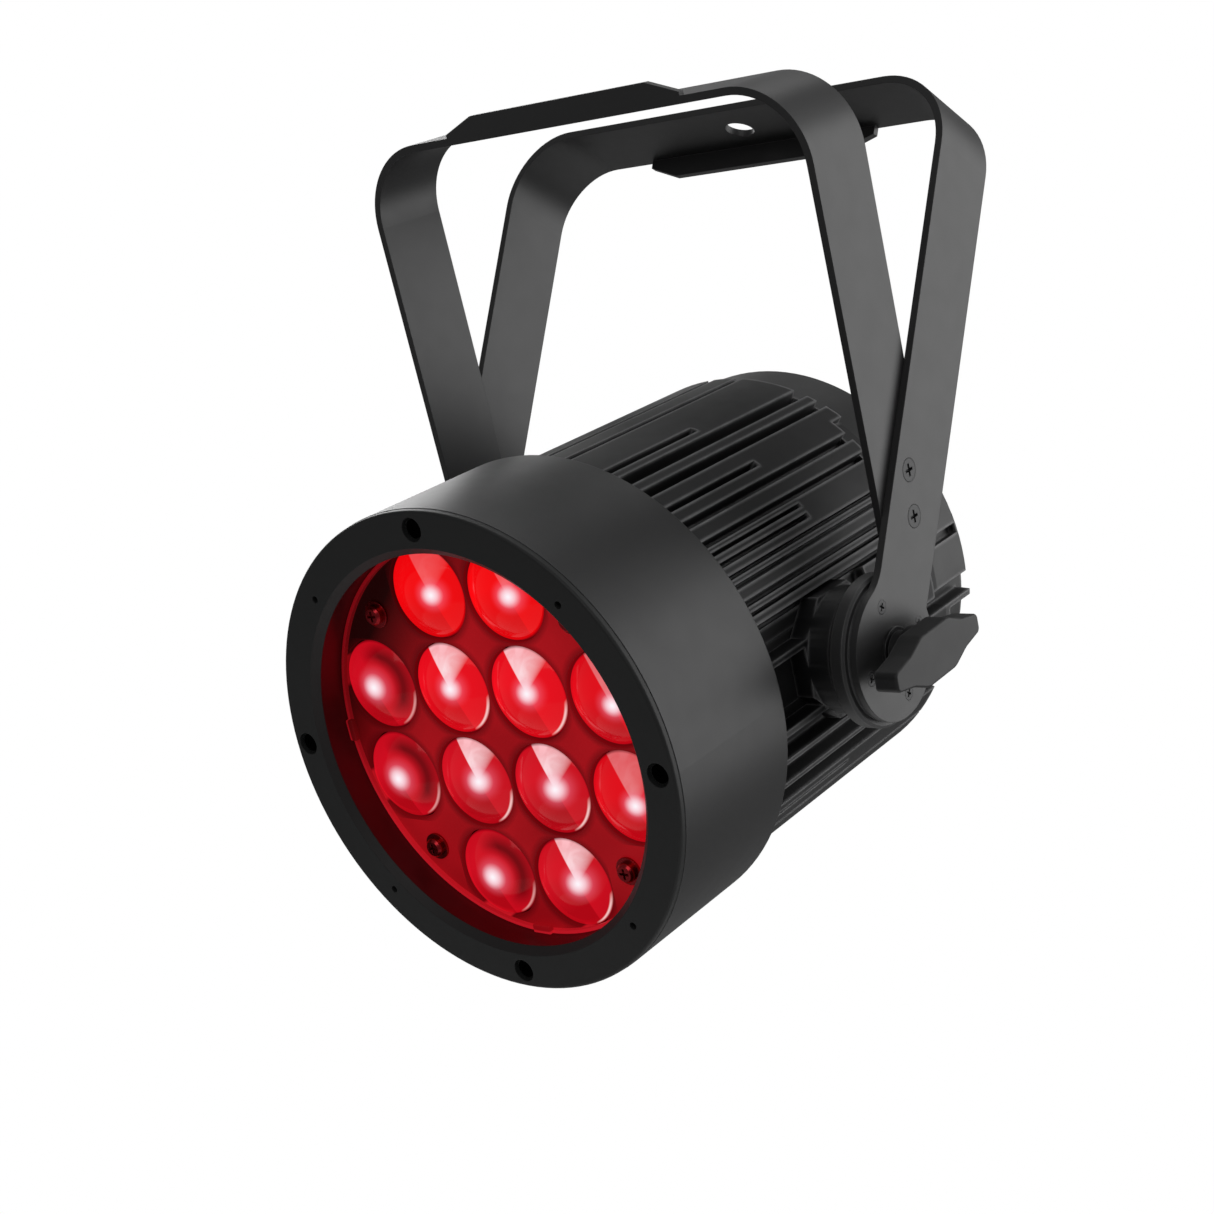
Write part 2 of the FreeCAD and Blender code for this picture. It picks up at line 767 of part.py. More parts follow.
def build_knob(side):
    """A wing knob and the threaded stud moulded into it."""
    sign = SIGN[side]
    roll = placed((0, 0, 0), turned((0, 0, 1), 90 + sign * size("knob_turn")))
    frame = placed(pivot, turned((0, 1, 0), 90 * sign)).multiply(roll)
    body = new_body(f"knob_{side}", frame)
    wing_back = size("knob_face") - size("knob_thickness")
    wing = new_sketch(body, "Wing", wing_back)
    outline(wing, knob_outline())
    pad(body, wing, "knob_thickness")

    def upright(reach):
        return lambda edge: (
            abs(abs(edge.CenterOfMass.x) - reach) < 1e-3
            and edge.Length > size("knob_thickness") - 0.1
        )

    fillet(body, "knob_tip_round", upright(size("knob_tip_reach")))
    fillet(body, "knob_flank_round", upright(size("knob_shoulder_reach")))
    fillet(body, "knob_flank_round", upright(size("knob_waist_reach")))
    fillet(body, "knob_face_round", lambda edge: abs(edge.CenterOfMass.z - size("knob_face")) < 1e-3)
    collar_start = half_span + size("knob_washer_thickness") + size("knob_washer_gap")
    flare_start = wing_back - size("knob_flare_height")
    for name, radius, start in (
        ("Collar", "knob_collar_radius", collar_start), ("Flare", "knob_flare_radius", flare_start),
    ):
        sketch = new_sketch(body, name, start)
        circle(sketch, radius)
        pad(body, sketch, wing_back + 1 - start)
    fillet(body, "knob_flare_round", lambda edge: is_circle(edge, size("knob_flare_radius"), flare_start))
    bore = new_sketch(body, "StudBore", collar_start - 1)
    circle(bore, "stud_radius")
    pocket(body, bore, size("stud_end") - collar_start + 1, upwards=True)
    stud_start = size("stud_end") - size("stud_length")
    stud = fuse(
        cylinder("stud_radius", size("stud_length") - 1, (0, 0, stud_start + 1)),
        cone("stud_radius - 1", "stud_radius", 1, (0, 0, stud_start)),
    )
    register(stud, f"knob_stud_{side}", frame)


def build_boss(side):
    """The cast boss bolted to the housing's side: an octagonal foot, two ribs and a round barrel."""
    seat = size("boss_seat")
    edge = size("boss_edge")
    height = size("boss_face") - seat
    forward = -SIGN[side]
    spread = size("boss_screw_spread")
    foot = document.addObject("Part::Prism", "Octagon")
    foot.Polygon = 8
    bind(foot, "Circumradius", "boss_radius * 1.08")
    bind(foot, "Height", "boss_base_height")
    foot.Placement = placed((0, 0, seat), turned((0, 0, 1), 22.5))
    barrel = cylinder("boss_radius", height - edge, (0, 0, seat))
    crown = cone("boss_radius", "boss_radius - boss_edge", "boss_edge", (0, 0, size("boss_face") - edge))
    rib_start = size("boss_radius") * 0.6
    rib_end = size("barrel_rear") - 0.4
    ribs = [
        block(rib_end - rib_start, "boss_rib_width", "boss_base_height",
              (forward * (rib_end + rib_start) / 2, size(row), seat))
        for row in ("boss_upper_rib", "boss_lower_rib")
    ]
    bores = [cylinder("insert_radius", height, (0, 0, seat + 1))]
    for place in (-spread, spread):
        bores.append(cylinder("boss_screw_radius", "boss_base_height", (0, place, seat - 1)))
    boss = cut(fuse(foot, barrel, crown, *ribs), *bores)
    register(boss, f"pivot_boss_{side}", HEAD_SIDES[side])


def build_pivot_inserts():
    """The brass inserts that the studs run in, and the screws that hold the bosses from inside."""
    inserts = []
    screws = []
    length = size("boss_face") - size("boss_seat") - 1
    head_radius = size("boss_screw_head_radius")
    spread = size("boss_screw_spread")
    screw_seat = math.sqrt(size("housing_bore") ** 2 - (spread + head_radius) ** 2) - 0.1
    for sign in (1, -1):
        outwards = turned((0, 1, 0), 90 * sign)
        insert = cut(cylinder("insert_radius", length), cylinder("insert_bore_radius", length))
        inserts.append(moved(insert, (sign * (size("boss_seat") + 1), 0, 0), outwards))
        for y in (-spread, spread):
            screw = cross_screw(head_radius, size("boss_screw_head_height"), "boss_screw_radius",
                                size("boss_screw_length"))
            inwards = turned((0, 1, 0), -90 * sign)
            screws.append(moved(screw, (sign * screw_seat, y, 0), inwards))
    register(group(*inserts), "pivot_inserts", HEAD)
    register(group(*screws), "boss_screws", HEAD)


# ---------------------------------------------------------------------------------------------
# Lamp head: shell, bezel and finned housing
# ---------------------------------------------------------------------------------------------
def ring_body(label, outer, inner, length, lift):
    body = new_body(label, HEAD)
    ring = new_sketch(body, "Ring", lift)
    circle(ring, outer)
    circle(ring, inner)
    pad(body, ring, length)
    return body


def hole_circle(body, radius, spread, first, depth, lift, count=4):
    """Holes spread evenly on a circle, drilled backwards from a plane."""
    holes = new_sketch(body, "Holes", lift)
    for place in around(count, spread, first):
        circle(holes, radius, place)
    return pocket(body, holes, depth)


def build_bezel():
    front = size("front_face")
    body = ring_body("front_bezel", "bezel_radius", "bezel_opening", "bezel_thickness",
                     front - size("bezel_thickness"))
    chamfer(body, "bezel_bevel", lambda edge: is_circle(edge, size("bezel_opening"), front))
    fillet(body, "bezel_edge", lambda edge: is_circle(edge, size("bezel_radius"), front))
    bolts = size("bezel_screw_circle")
    hole_circle(body, "bezel_recess_radius", bolts, 0.0, "bezel_recess_depth", front)
    hole_circle(body, "bezel_screw_radius + 0.2", bolts, 0.0, "bezel_thickness + 1", front)
    accessories = size("accessory_circle")
    hole_circle(body, "accessory_hole_radius", accessories, 45.0, "bezel_thickness + 1", front)


def build_barrel():
    shoulder = size("front_face") - size("bezel_thickness")
    body = ring_body("front_barrel", "barrel_radius", "barrel_radius - barrel_wall",
                     shoulder - size("barrel_rear"), size("barrel_rear"))
    front_lip = new_sketch(body, "Lip", shoulder - size("barrel_lip"))
    circle(front_lip, "barrel_radius - 1")
    circle(front_lip, "barrel_lip_radius")
    pad(body, front_lip, "barrel_lip")
    fillet(body, 0.8, lambda edge: is_circle(edge, size("barrel_radius"), size("barrel_rear")))
    bolts = size("bezel_screw_circle")
    hole_circle(body, "bezel_screw_radius + 0.2", bolts, 0.0, "barrel_lip + 1", shoulder)
    accessories = size("accessory_circle")
    hole_circle(body, "accessory_relief_radius", accessories, 45.0, "barrel_lip - 1", shoulder)


def build_sleeve():
    base = size("base_plate_front")
    ring_body("inner_sleeve", "sleeve_radius", "sleeve_bore",
              size("front_face") - size("bezel_thickness") - base, base)


def build_bezel_screws():
    body = new_body("bezel_screws", HEAD)
    seat = size("front_face") - size("bezel_recess_depth")
    place = (size("bezel_screw_circle"), 0.0)
    shank = new_sketch(body, "Shank", size("barrel_rear") + 1)
    circle(shank, "bezel_screw_radius", place)
    shank_pad = pad(body, shank, seat - size("barrel_rear") - 1)
    head = new_sketch(body, "Head", seat)
    circle(head, "bezel_screw_head_radius", place)
    head_pad = pad(body, head, "bezel_recess_depth * 0.4")
    socket = new_sketch(body, "Socket", size("front_face"))
    outline(socket, [(place[0] + x, y) for x, y in around(6, size("bezel_screw_socket"))])
    socket_cut = pocket(body, socket, "bezel_recess_depth * 0.95")
    polar(body, [shank_pad, head_pad, socket_cut], 4)


# Slots between the fins, as (degrees from the top, width in mm), cut on both sides alike. Every slot
# starts at the barrel, and a group shares the distance behind the tilt axis at which it stops.
SLOTS = {
    "crown_fin_end": [(4.6, 3.4), (24.6, 6.4), (31.3, 4.8)],
    "short_slot_end": [(18.8, 3.6), (38.3, 3.0), (53.6, 1.8), (56.8, 2.2), (127.6, 2.0)],
    "side_fin_end": [
        (44.1, 4.0), (50.6, 3.2), (60.4, 1.8), (63.0, 1.9), (67.5, 2.4), (70.3, 1.6), (73.9, 2.7),
    ],
    "cheek_slot_end": [(80.4, 4.2)],
    "low_fin_end": [(105.8, 8.6), (113.0, 9.6), (120.8, 9.6), (133.4, 1.4), (160.0, 1.4)],
    "housing_rear + 1": [(95.4, 6.4)],
}
# Where groups of fins end: degrees from the top, the end behind the tilt axis and the radius left there.
FIN_ENDS = [
    ([(-38.0, 38.0)], "crown_fin_end", "rear_shell_radius"),
    ([(38.0, 93.4), (-93.4, -38.0)], "side_fin_end", "rear_shell_radius"),
    ([(93.4, 99.4), (-99.4, -93.4)], "tail_fin_end", "slot_floor_radius"),
    ([(99.0, 261.0)], "low_fin_end", "slot_floor_radius"),
]


def slot_outlines(sketch, slots):
    floor = size("slot_floor_radius")
    top = size("fin_radius") + 6
    for degrees, width in slots:
        for side in (1, -1):
            angle = math.radians(side * degrees)
            along = (math.sin(angle), math.cos(angle))
            across = (math.cos(angle), -math.sin(angle))
            outline(sketch, [
                (along[0] * radius + across[0] * shift, along[1] * radius + across[1] * shift)
                for radius, shift in (
                    (floor, -width / 2), (floor, width / 2), (top, width / 2), (top, -width / 2),
                )
            ])


def sector(sketch, inner, outer, first, last):
    """A ring sector with true arcs, between two angles counted clockwise from the top."""
    low = math.radians(90.0 - last)
    high = math.radians(90.0 - first)
    centre = Vector(0, 0, 0)
    normal = Vector(0, 0, 1)
    start = sketch.GeometryCount
    sketch.addGeometry(Part.ArcOfCircle(Part.Circle(centre, normal, inner), low, high))
    sketch.addGeometry(Part.ArcOfCircle(Part.Circle(centre, normal, outer), low, high))
    for angle in (low, high):
        ends = [Vector(radius * math.cos(angle), radius * math.sin(angle), 0) for radius in (inner, outer)]
        sketch.addGeometry(Part.LineSegment(*ends))
    for arc, end, line in ((0, 1, 2), (0, 2, 3)):
        sketch.addConstraint(Sketcher.Constraint("Coincident", start + arc, end, start + line, 1))
        sketch.addConstraint(Sketcher.Constraint("Coincident", start + arc + 1, end, start + line, 2))


def cut_fins(body):
    """Cut the slots from the barrel backwards, then end each group of fins."""
    barrel_rear = size("barrel_rear")
    for stop, slots in SLOTS.items():
        sketch = new_sketch(body, "Slots", barrel_rear)
        slot_outlines(sketch, slots)
        pocket(body, sketch, f"barrel_rear + {stop}")
    for spans, stop, radius in FIN_ENDS:
        sketch = new_sketch(body, "FinEnds", "-housing_rear - 1")
        for first, last in spans:
            sector(sketch, size(radius), size("fin_radius") + 5, first, last)
        pocket(body, sketch, f"housing_rear + 1 - {stop}", upwards=True)


def cut_boss_seats(body):
    """Flat recesses for the pivot bosses, and the holes for their screws."""
    barrel_rear = size("barrel_rear")
    length = barrel_rear + size("boss_recess_end")
    for lift, upwards in ((size("boss_seat"), True), (-size("boss_seat"), False)):
        seat = new_sketch(body, "BossSeat", lift, "YZ_Plane")
        rectangle(seat, "boss_radius * 2 + 3", length, (0.0, barrel_rear - length / 2))
        pocket(body, seat, "fin_radius - boss_seat + 4", upwards=upwards)
    bores = new_sketch(body, "BossScrewHoles", role="YZ_Plane")
    for place in (-size("boss_screw_spread"), size("boss_screw_spread")):
        circle(bores, "boss_screw_radius", (place, 0.0))
    pocket(body, bores, "fin_radius * 2 + 10", midplane=True)


def cut_panel_seat(body):
    """The ledge that the rear panel sits on, with six tapped bosses."""
    rear = -size("housing_rear")
    ledge = new_sketch(body, "PanelLedge", rear - 1)
    circle(ledge, "panel_radius")
    pocket(body, ledge, "panel_recess + 1", upwards=True)
    bosses = new_sketch(body, "PanelBosses", rear + size("panel_recess"))
    tapped = new_sketch(body, "PanelScrewHoles", rear)
    for place in around(6, size("panel_screw_circle")):
        circle(bosses, "panel_boss_radius", place)
        circle(tapped, "small_screw_radius", place)
    pad(body, bosses, "panel_boss_depth")
    pocket(body, tapped, "panel_boss_depth", upwards=True)


def build_housing():
    """The finned housing: a shell, a base plate behind the light engine and an open rear."""
    body = new_body("heatsink_housing", HEAD)
    rear = -size("housing_rear")
    barrel_rear = size("barrel_rear")
    shell = new_sketch(body, "Shell", rear)
    circle(shell, "rear_shell_radius")
    pad(body, shell, "housing_rear + barrel_rear")
    fillet(body, "housing_edge", lambda edge: is_circle(edge, size("rear_shell_radius"), rear))
    fins = new_sketch(body, "Fins", "-tail_fin_end")
    circle(fins, "fin_radius")
    pad(body, fins, "tail_fin_end + barrel_rear")
    flange = new_sketch(body, "Flange", barrel_rear)
    circle(flange, "barrel_radius - barrel_wall - 0.2")
    pad(body, flange, "base_plate_front - barrel_rear")
    cavity = new_sketch(body, "Cavity", "base_plate_rear")
    circle(cavity, "housing_bore")
    pocket(body, cavity, "housing_rear + base_plate_rear + 1")
    cut_panel_seat(body)
    cut_fins(body)
    cut_boss_seats(body)
    hole_circle(body, "bezel_screw_radius", size("bezel_screw_circle"), 0.0,
                "base_plate_front - barrel_rear - 1", "base_plate_front")
    guide = size("guide_offset")
    drilled = new_sketch(body, "GuideHoles", "base_plate_front + 1")
    for x in (-guide, guide):
        for y in (-guide, guide):
            circle(drilled, "guide_radius + 0.5" if x * y > 0 else "guide_radius", (x, y))
    pocket(body, drilled, "base_plate_front - base_plate_rear + 2")


# ---------------------------------------------------------------------------------------------
# Zoom optics: twelve lenses on a carriage that slides on two rods, driven by two lead screws
# ---------------------------------------------------------------------------------------------
lens_seat = (
    size("lens_plate_front") - size("lens_plate_thickness") - size("lens_edge") + size("lens_rise")
)


def lens_places():
    """A square grid of four by four without its corners."""
    steps = [-1.5, -0.5, 0.5, 1.5]
    pitch = size("lens_pitch")
    return [(x * pitch, y * pitch) for x in steps for y in steps if abs(x) + abs(y) < 3]


def corner_places(offset):
    return [(x, y) for x in (-offset, offset) for y in (-offset, offset)]


def build_lens_plate():
    front = size("lens_plate_front")
    back = front - size("lens_plate_thickness")
    body = new_body("lens_plate", HEAD)
    disc = new_sketch(body, "Disc", back)
    circle(disc, "lens_plate_radius")
    pad(body, disc, "lens_plate_thickness")
    rim = new_sketch(body, "Rim", front)
    circle(rim, "lens_plate_radius")
    circle(rim, "lens_plate_radius - lens_plate_rim_width")
    pad(body, rim, "lens_plate_rim")
    seats = new_sketch(body, "LensHoles", front)
    for place in lens_places():
        circle(seats, "lens_hole_radius", place)
    pocket(body, seats, "lens_plate_thickness + 1")
    screws = new_sketch(body, "ScrewHoles", front)
    for place in corner_places(size("lens_screw_offset")):
        circle(screws, "lens_screw_radius + 0.2", place)
    pocket(body, screws, "lens_plate_thickness + 1")


def build_lenses():
    """Plano-convex lenses: a cylindrical edge under a spherical crown."""
    radius = size("lens_radius")
    crown = size("lens_crown")
    sphere_radius = (radius ** 2 + crown ** 2) / (2 * crown)
    edge_front = lens_seat + size("lens_edge")
    lenses = []
    for x, y in lens_places():
        ball = document.addObject("Part::Sphere", "Ball")
        ball.Radius = sphere_radius
        ball.Placement = placed((x, y, edge_front + crown - sphere_radius))
        column = cylinder("lens_radius", crown + size("lens_edge"), (x, y, lens_seat))
        lens = document.addObject("Part::Common", "Lens")
        lens.Base = ball
        lens.Tool = column
        lenses.append(lens)
    register(group(*lenses), "zoom_lenses", HEAD)


def build_lens_tubes():
    """Short tubes that hold the lenses off the carriage plate."""
    start = size("carriage_front")
    length = lens_seat - start
    tubes = [
        cut(
            cylinder("lens_tube_radius", length, (x, y, start)),
            cylinder("lens_tube_bore", length, (x, y, start)),
        )
        for x, y in lens_places()
    ]
    register(group(*tubes), "lens_tubes", HEAD)


def build_carriage():
    """The carriage plate, with its four posts and the holes that the light comes through."""
    front = size("carriage_front")
    body = new_body("zoom_carriage", HEAD)
    disc = new_sketch(body, "Disc", front - size("carriage_thickness"))
    circle(disc, "carriage_radius")
    pad(body, disc, "carriage_thickness")
    posts = new_sketch(body, "Posts", front)
    for place in corner_places(size("lens_screw_offset")):
        circle(posts, "carriage_post_radius", place)
    pad(body, posts, "lens_plate_front - lens_plate_thickness - carriage_front")
    tapped = new_sketch(body, "TappedHoles", size("lens_plate_front"))
    for place in corner_places(size("lens_screw_offset")):
        circle(tapped, "lens_screw_radius", place)
    pocket(body, tapped, "lens_screw_length + 1")
    windows = new_sketch(body, "Windows", front + 1)
    for place in lens_places():
        circle(windows, "lens_tube_bore - 0.6", place)
    pocket(body, windows, "carriage_thickness + 2")
    guides = new_sketch(body, "GuideHoles", front + 1)
    for place in corner_places(size("guide_offset")):
        circle(guides, "nut_neck_radius", place)
    pocket(body, guides, "carriage_thickness + 2")


def build_lens_fasteners():
    front = size("lens_plate_front")
    washer_thickness = size("lens_washer_thickness")
    screws = []
    washers = []
    for x, y in corner_places(size("lens_screw_offset")):
        washers.append(cut(
            cylinder("lens_washer_radius", washer_thickness, (x, y, front)),
            cylinder("lens_screw_radius", washer_thickness, (x, y, front)),
        ))
        screw = cross_screw(size("lens_screw_head_radius"), size("lens_screw_head_height"),
                            "lens_screw_radius", size("lens_screw_length"))
        screws.append(moved(screw, (x, y, front + washer_thickness)))
    register(group(*screws), "lens_plate_screws", HEAD)
    register(group(*washers), "lens_plate_washers", HEAD)


def flanged_bush(x, y):
    """A bush with a flange on the carriage plate's rear face, its bore running on a rod."""
    back = size("carriage_front") - size("carriage_thickness")
    start = back - size("nut_flange")
    neck = cylinder("nut_neck_radius", "nut_length - nut_flange", (x, y, back))
    flange = cylinder("nut_radius", "nut_flange", (x, y, start))
    return cut(fuse(neck, flange), cylinder("guide_radius + running_fit", "nut_length", (x, y, start)))


def build_guides():
    """Lead-screw nuts and guide bushes on the carriage; guide rods and lead screws in the head."""
    offset = size("guide_offset")
    nuts = [flanged_bush(x, x) for x in (offset, -offset)]
    bushes = [flanged_bush(x, -x) for x in (offset, -offset)]
    register(group(*nuts), "lead_nuts", HEAD)
    register(group(*bushes), "guide_bushes", HEAD)
    rod_start = size("base_plate_rear") + 4
    rods = [
        fuse(
            cylinder("guide_radius", size("guide_tip") - rod_start - 1, (x, -x, rod_start)),
            cone("guide_radius", "guide_radius - 1", 1.0, (x, -x, size("guide_tip") - 1)),
        )
        for x in (offset, -offset)
    ]
    register(group(*rods), "guide_rods", HEAD)


def build_zoom_drive(name, x, y):
    """One zoom motor behind the base plate, and its lead screw."""
    plate_rear = size("base_plate_rear")
    tip = size("guide_tip")
    shaft_start = plate_rear - size("motor_length") + 4
    thread_start = plate_rear + 1
    core = cylinder("guide_radius - 0.5", tip - shaft_start, (x, y, shaft_start))
    thread = cylinder("guide_radius", tip - thread_start - 1, (x, y, thread_start))
    register(fuse(core, thread), f"lead_screw_{name}", HEAD)
    case_start = plate_rear - size("motor_length")
    case = cylinder("motor_radius", "motor_length", (x, y, case_start))
    tail = cylinder("motor_radius * 0.4", "motor_tail", (x, y, case_start - size("motor_tail")))
    bore = cylinder("guide_radius - 0.45", "motor_length", (x, y, shaft_start - 0.3))
    register(cut(fuse(case, tail), bore), f"zoom_motor_{name}", HEAD)


def build_light_engine():
    """The round circuit board on the base plate, and its twelve emitters."""
    start = size("base_plate_front")
    body = new_body("led_board", HEAD)
    disc = new_sketch(body, "Disc", start)
    circle(disc, "led_board_radius")
    pad(body, disc, "led_board_thickness")
    holes = new_sketch(body, "GuideHoles", start + 5)
    for place in corner_places(size("guide_offset")):
        circle(holes, "guide_radius + 1", place)
    pocket(body, holes, "led_board_thickness + 6")
    top = start + size("led_board_thickness")
    emitters = []
    for x, y in lens_places():
        base = block("led_half_width * 2", "led_half_width * 2", "led_base_height", (x, y, top))
        dome = document.addObject("Part::Sphere", "Dome")
        bind(dome, "Radius", "led_dome_radius")
        dome_centre = top + size("led_base_height") - 0.2
        dome.Placement = placed((x, y, dome_centre))
        lower_half = size("led_dome_radius") * 2 + 1
        skirt = block(lower_half, lower_half, lower_half, (x, y, dome_centre - lower_half))
        emitters.append(fuse(base, cut(dome, skirt)))
    register(group(*emitters), "led_emitters", HEAD)


# ---------------------------------------------------------------------------------------------
# Cooling fan and electronics inside the housing
# ---------------------------------------------------------------------------------------------
def fan_corners():
    return corner_places(size("fan_corner"))


def build_fan_frame():
    back = size("fan_front") - size("fan_depth")
    centre = (0, 0, back)
    web = "fan_web"
    frame = cut(
        block("fan_half_width * 2", "fan_half_width * 2", "fan_depth", centre),
        cylinder("fan_bore", "fan_depth", centre),
        *[cylinder("fan_hole_radius", "fan_depth", (x, y, back)) for x, y in fan_corners()],
    )
    spokes = [
        block("fan_half_width * 2 - 3", "fan_web * 1.2", web, centre, turned((0, 0, 1), angle))
        for angle in (45, 135)
    ]
    hub_mount = cylinder("fan_hub_radius + 1", web, centre)
    tray_front = size("tray_front")
    feet = [
        cut(cylinder("fan_foot_radius", back - tray_front, (x, y, tray_front)),
            cylinder("fan_hole_radius", back - tray_front, (x, y, tray_front)))
        for x, y in fan_corners()
    ]
    bearing = cylinder("fan_axle_radius + running_fit", web, centre)
    register(cut(fuse(frame, hub_mount, *spokes, *feet), bearing), "fan_frame", HEAD)


def build_fan_rotor():
    """A hub on its axle with seven pitched blades, trimmed to the blade circle."""
    depth = size("fan_depth")
    back = size("fan_front") - depth
    hub_start = back + size("fan_web") + 1
    hub = fuse(
        cylinder("fan_hub_radius", depth - size("fan_web") * 2, (0, 0, hub_start)),
        cylinder("fan_axle_radius", hub_start - back, (0, 0, back + 0.5)),
    )
    tip = size("fan_blade_tip")
    root = size("fan_hub_radius") - 2
    blade_count = 7
    blades = []
    for step in range(blade_count):
        spin = placed((0, 0, back + depth / 2), turned((0, 0, 1), 360.0 * step / blade_count))
        pitch = placed(((tip + root) / 2 + 1, 0, 0), turned((1, 0, 0), size("fan_blade_pitch")))
        centred = (0, 0, -size("fan_blade_chord") / 2)
        blade = block(tip - root, "fan_blade_thickness", "fan_blade_chord", centred)
        blade.Placement = spin.multiply(pitch).multiply(blade.Placement)
        blades.append(blade)
    trim_start = (0, 0, back - depth)
    trim = cut(
        cylinder("fan_half_width * 2", "fan_depth * 3", trim_start),
        cylinder("fan_blade_tip", "fan_depth * 3", trim_start),
    )
    register(fuse(hub, cut(fuse(*blades), trim)), "fan_rotor", HEAD)


def build_fan_screws():
    front = size("fan_front")
    length = front - size("tray_front") + size("tray_thickness")
    head = size("fan_screw_head_radius")
    screws = [
        moved(cross_screw(head, size("fan_screw_head_height"), "fan_screw_radius", length), (x, y, front))
        for x, y in fan_corners()
    ]
    register(group(*screws), "fan_screws", HEAD)


def build_tray():
    """A round tray on six posts that carries the power supply and the driver board."""
    thickness = size("tray_thickness")
    back = size("tray_front") - thickness
    offset = size("tray_cutout_offset")
    tray = cut(
        cylinder("tray_radius", thickness, (0, 0, back)),
        *[cylinder("tray_cutout_radius", thickness, (0, y, back)) for y in (offset, -offset)],
        *[cylinder("fan_screw_radius", thickness, (x, y, back)) for x, y in fan_corners()],
    )
    panel_inside = -size("housing_rear") + size("panel_recess")
    posts = [
        cylinder("tray_post_radius", back - panel_inside, (side * x, y, panel_inside))
        for side in (1, -1) for x, y in ((62, 10), (46, 46), (34, -58))
    ]
    register(fuse(tray, *posts), "electronics_tray", HEAD)


def build_driver_board():
    front = size("tray_front")
    board_start = front + size("driver_board_gap")
    pitch = size("driver_chip_pitch")
    steps = (-pitch, 0.0, pitch)
    width = "driver_board_width"
    board = block(width, width, "board_thickness", (0, 0, board_start))
    chips = [
        block("driver_chip_width", "driver_chip_width - 2", "driver_chip_height", (x, y, board_start))
        for x in steps for y in steps
    ]
    feet = [
        cylinder(2.0, "driver_board_gap", (x, y, front))
        for x, y in corner_places(size("driver_board_width") / 2 - 4)
    ]
    register(fuse(board, *chips, *feet), "driver_board", HEAD)


def build_power_supply():
    """A boxed supply under the tray with a row of slots in its cover."""
    bottom = size("tray_front") - size("tray_thickness") - size("supply_height")
    supply = block("supply_length", "supply_width", "supply_height", (0, 0, bottom))
    width = "supply_vent_width"
    vents = [
        block(width, "supply_vent_length", width, (x, y, bottom - 1))
        for x, y in row_places(13, size("supply_vent_pitch"), 0)
    ]
    register(cut(supply, *vents), "power_supply", HEAD)


# ---------------------------------------------------------------------------------------------
# Rear panel: display, buttons, power and data sockets, fuse and safety eye
# ---------------------------------------------------------------------------------------------
BUTTONS = ("menu", "down", "up", "enter")
CONNECTORS = ("power_inlet", "data_input", "data_output", "power_outlet")

panel_inside = -size("housing_rear") + size("panel_recess")
panel_outside = panel_inside - size("panel_thickness")


def row_places(count, pitch, height):
    return [((step - (count - 1) / 2) * pitch, height) for step in range(count)]


button_places = dict(zip(BUTTONS, row_places(4, size("button_pitch"), size("button_row"))))
connector_places = dict(zip(CONNECTORS, row_places(4, size("connector_pitch"), size("connector_row"))))
flange_screw_shift = (size("flange_screw_across"), size("flange_screw_up"))


def connector_screw_places():
    x_shift, y_shift = flange_screw_shift
    return [
        (x + sign * x_shift, y + sign * y_shift)
        for x, y in connector_places.values() for sign in (1, -1)
    ]


def eye_screw_places():
    spread = size("eye_screw_spread")
    return [(x, size("eye_row") - size("eye_screw_drop")) for x in (-spread, spread)]


def build_rear_panel():
    body = new_body("rear_panel", HEAD)
    disc = new_sketch(body, "Disc", panel_outside)
    circle(disc, "panel_radius - 0.3")
    pad(body, disc, "panel_thickness")
    fittings = new_sketch(body, "FittingHoles", panel_outside - 1)
    rectangle(fittings, "window_width", "window_height", (0.0, size("window_centre")))
    for place in button_places.values():
        circle(fittings, "button_radius + button_gap", place)
    for place in connector_places.values():
        circle(fittings, "connector_barrel + 0.2", place)
    circle(fittings, "fuse_radius + 0.2", (0.0, size("fuse_row")))
    pocket(body, fittings, "panel_thickness + 2", upwards=True)
    vents = new_sketch(body, "Vents", panel_outside - 1)
    for x, y in row_places(17, size("vent_pitch"), 1.0):
        rectangle(vents, "vent_width", "vent_height", (x, y))
    pocket(body, vents, "panel_thickness + 2", upwards=True)
    screws = new_sketch(body, "ScrewHoles", panel_outside - 1)
    for place in around(6, size("panel_screw_circle")) + connector_screw_places() + eye_screw_places():
        circle(screws, "small_screw_radius", place)
    pocket(body, screws, "panel_thickness + 2", upwards=True)


def build_panel_screws():
    """The small screws that hold the panel, the safety eye and the sockets' flanges."""
    backwards = turned((1, 0, 0), 180)
    seats = [(place, 0.0) for place in around(6, size("panel_screw_circle"))]
    seats += [(place, size("eye_foot")) for place in eye_screw_places()]
    seats += [(place, size("flange_thickness")) for place in connector_screw_places()]
    screws = []
    for (x, y), lift in seats:
        screw = cross_screw(size("small_screw_head_radius"), size("small_screw_head_height"),
                            "small_screw_radius", size("small_screw_length"))
        screws.append(moved(screw, (x, y, panel_outside - lift), backwards))
    register(group(*screws), "panel_screws", HEAD)


control_board_front = panel_inside + size("control_board_gap")


def build_display():
    """The display's window in the panel and the module behind it."""
    centre = size("window_centre")
    thickness = size("window_thickness")
    window = block("window_width - 0.4", "window_height - 0.4", thickness, (0, centre, panel_outside))
    view = block("display_view_width", "display_view_height", 0.4, (0, centre, panel_outside + thickness))
    register(fuse(window, view), "display_window", HEAD)
    start = panel_inside + 0.2
    module = block("display_width", "display_height", "display_depth", (0, centre, start))
    leg_start = start + size("display_depth")
    leg_spread = size("display_view_width") / 2
    legs = [
        cylinder(1.2, control_board_front - leg_start, (x, centre, leg_start))
        for x in (-leg_spread, leg_spread)
    ]
    register(fuse(module, *legs), "display_module", HEAD)


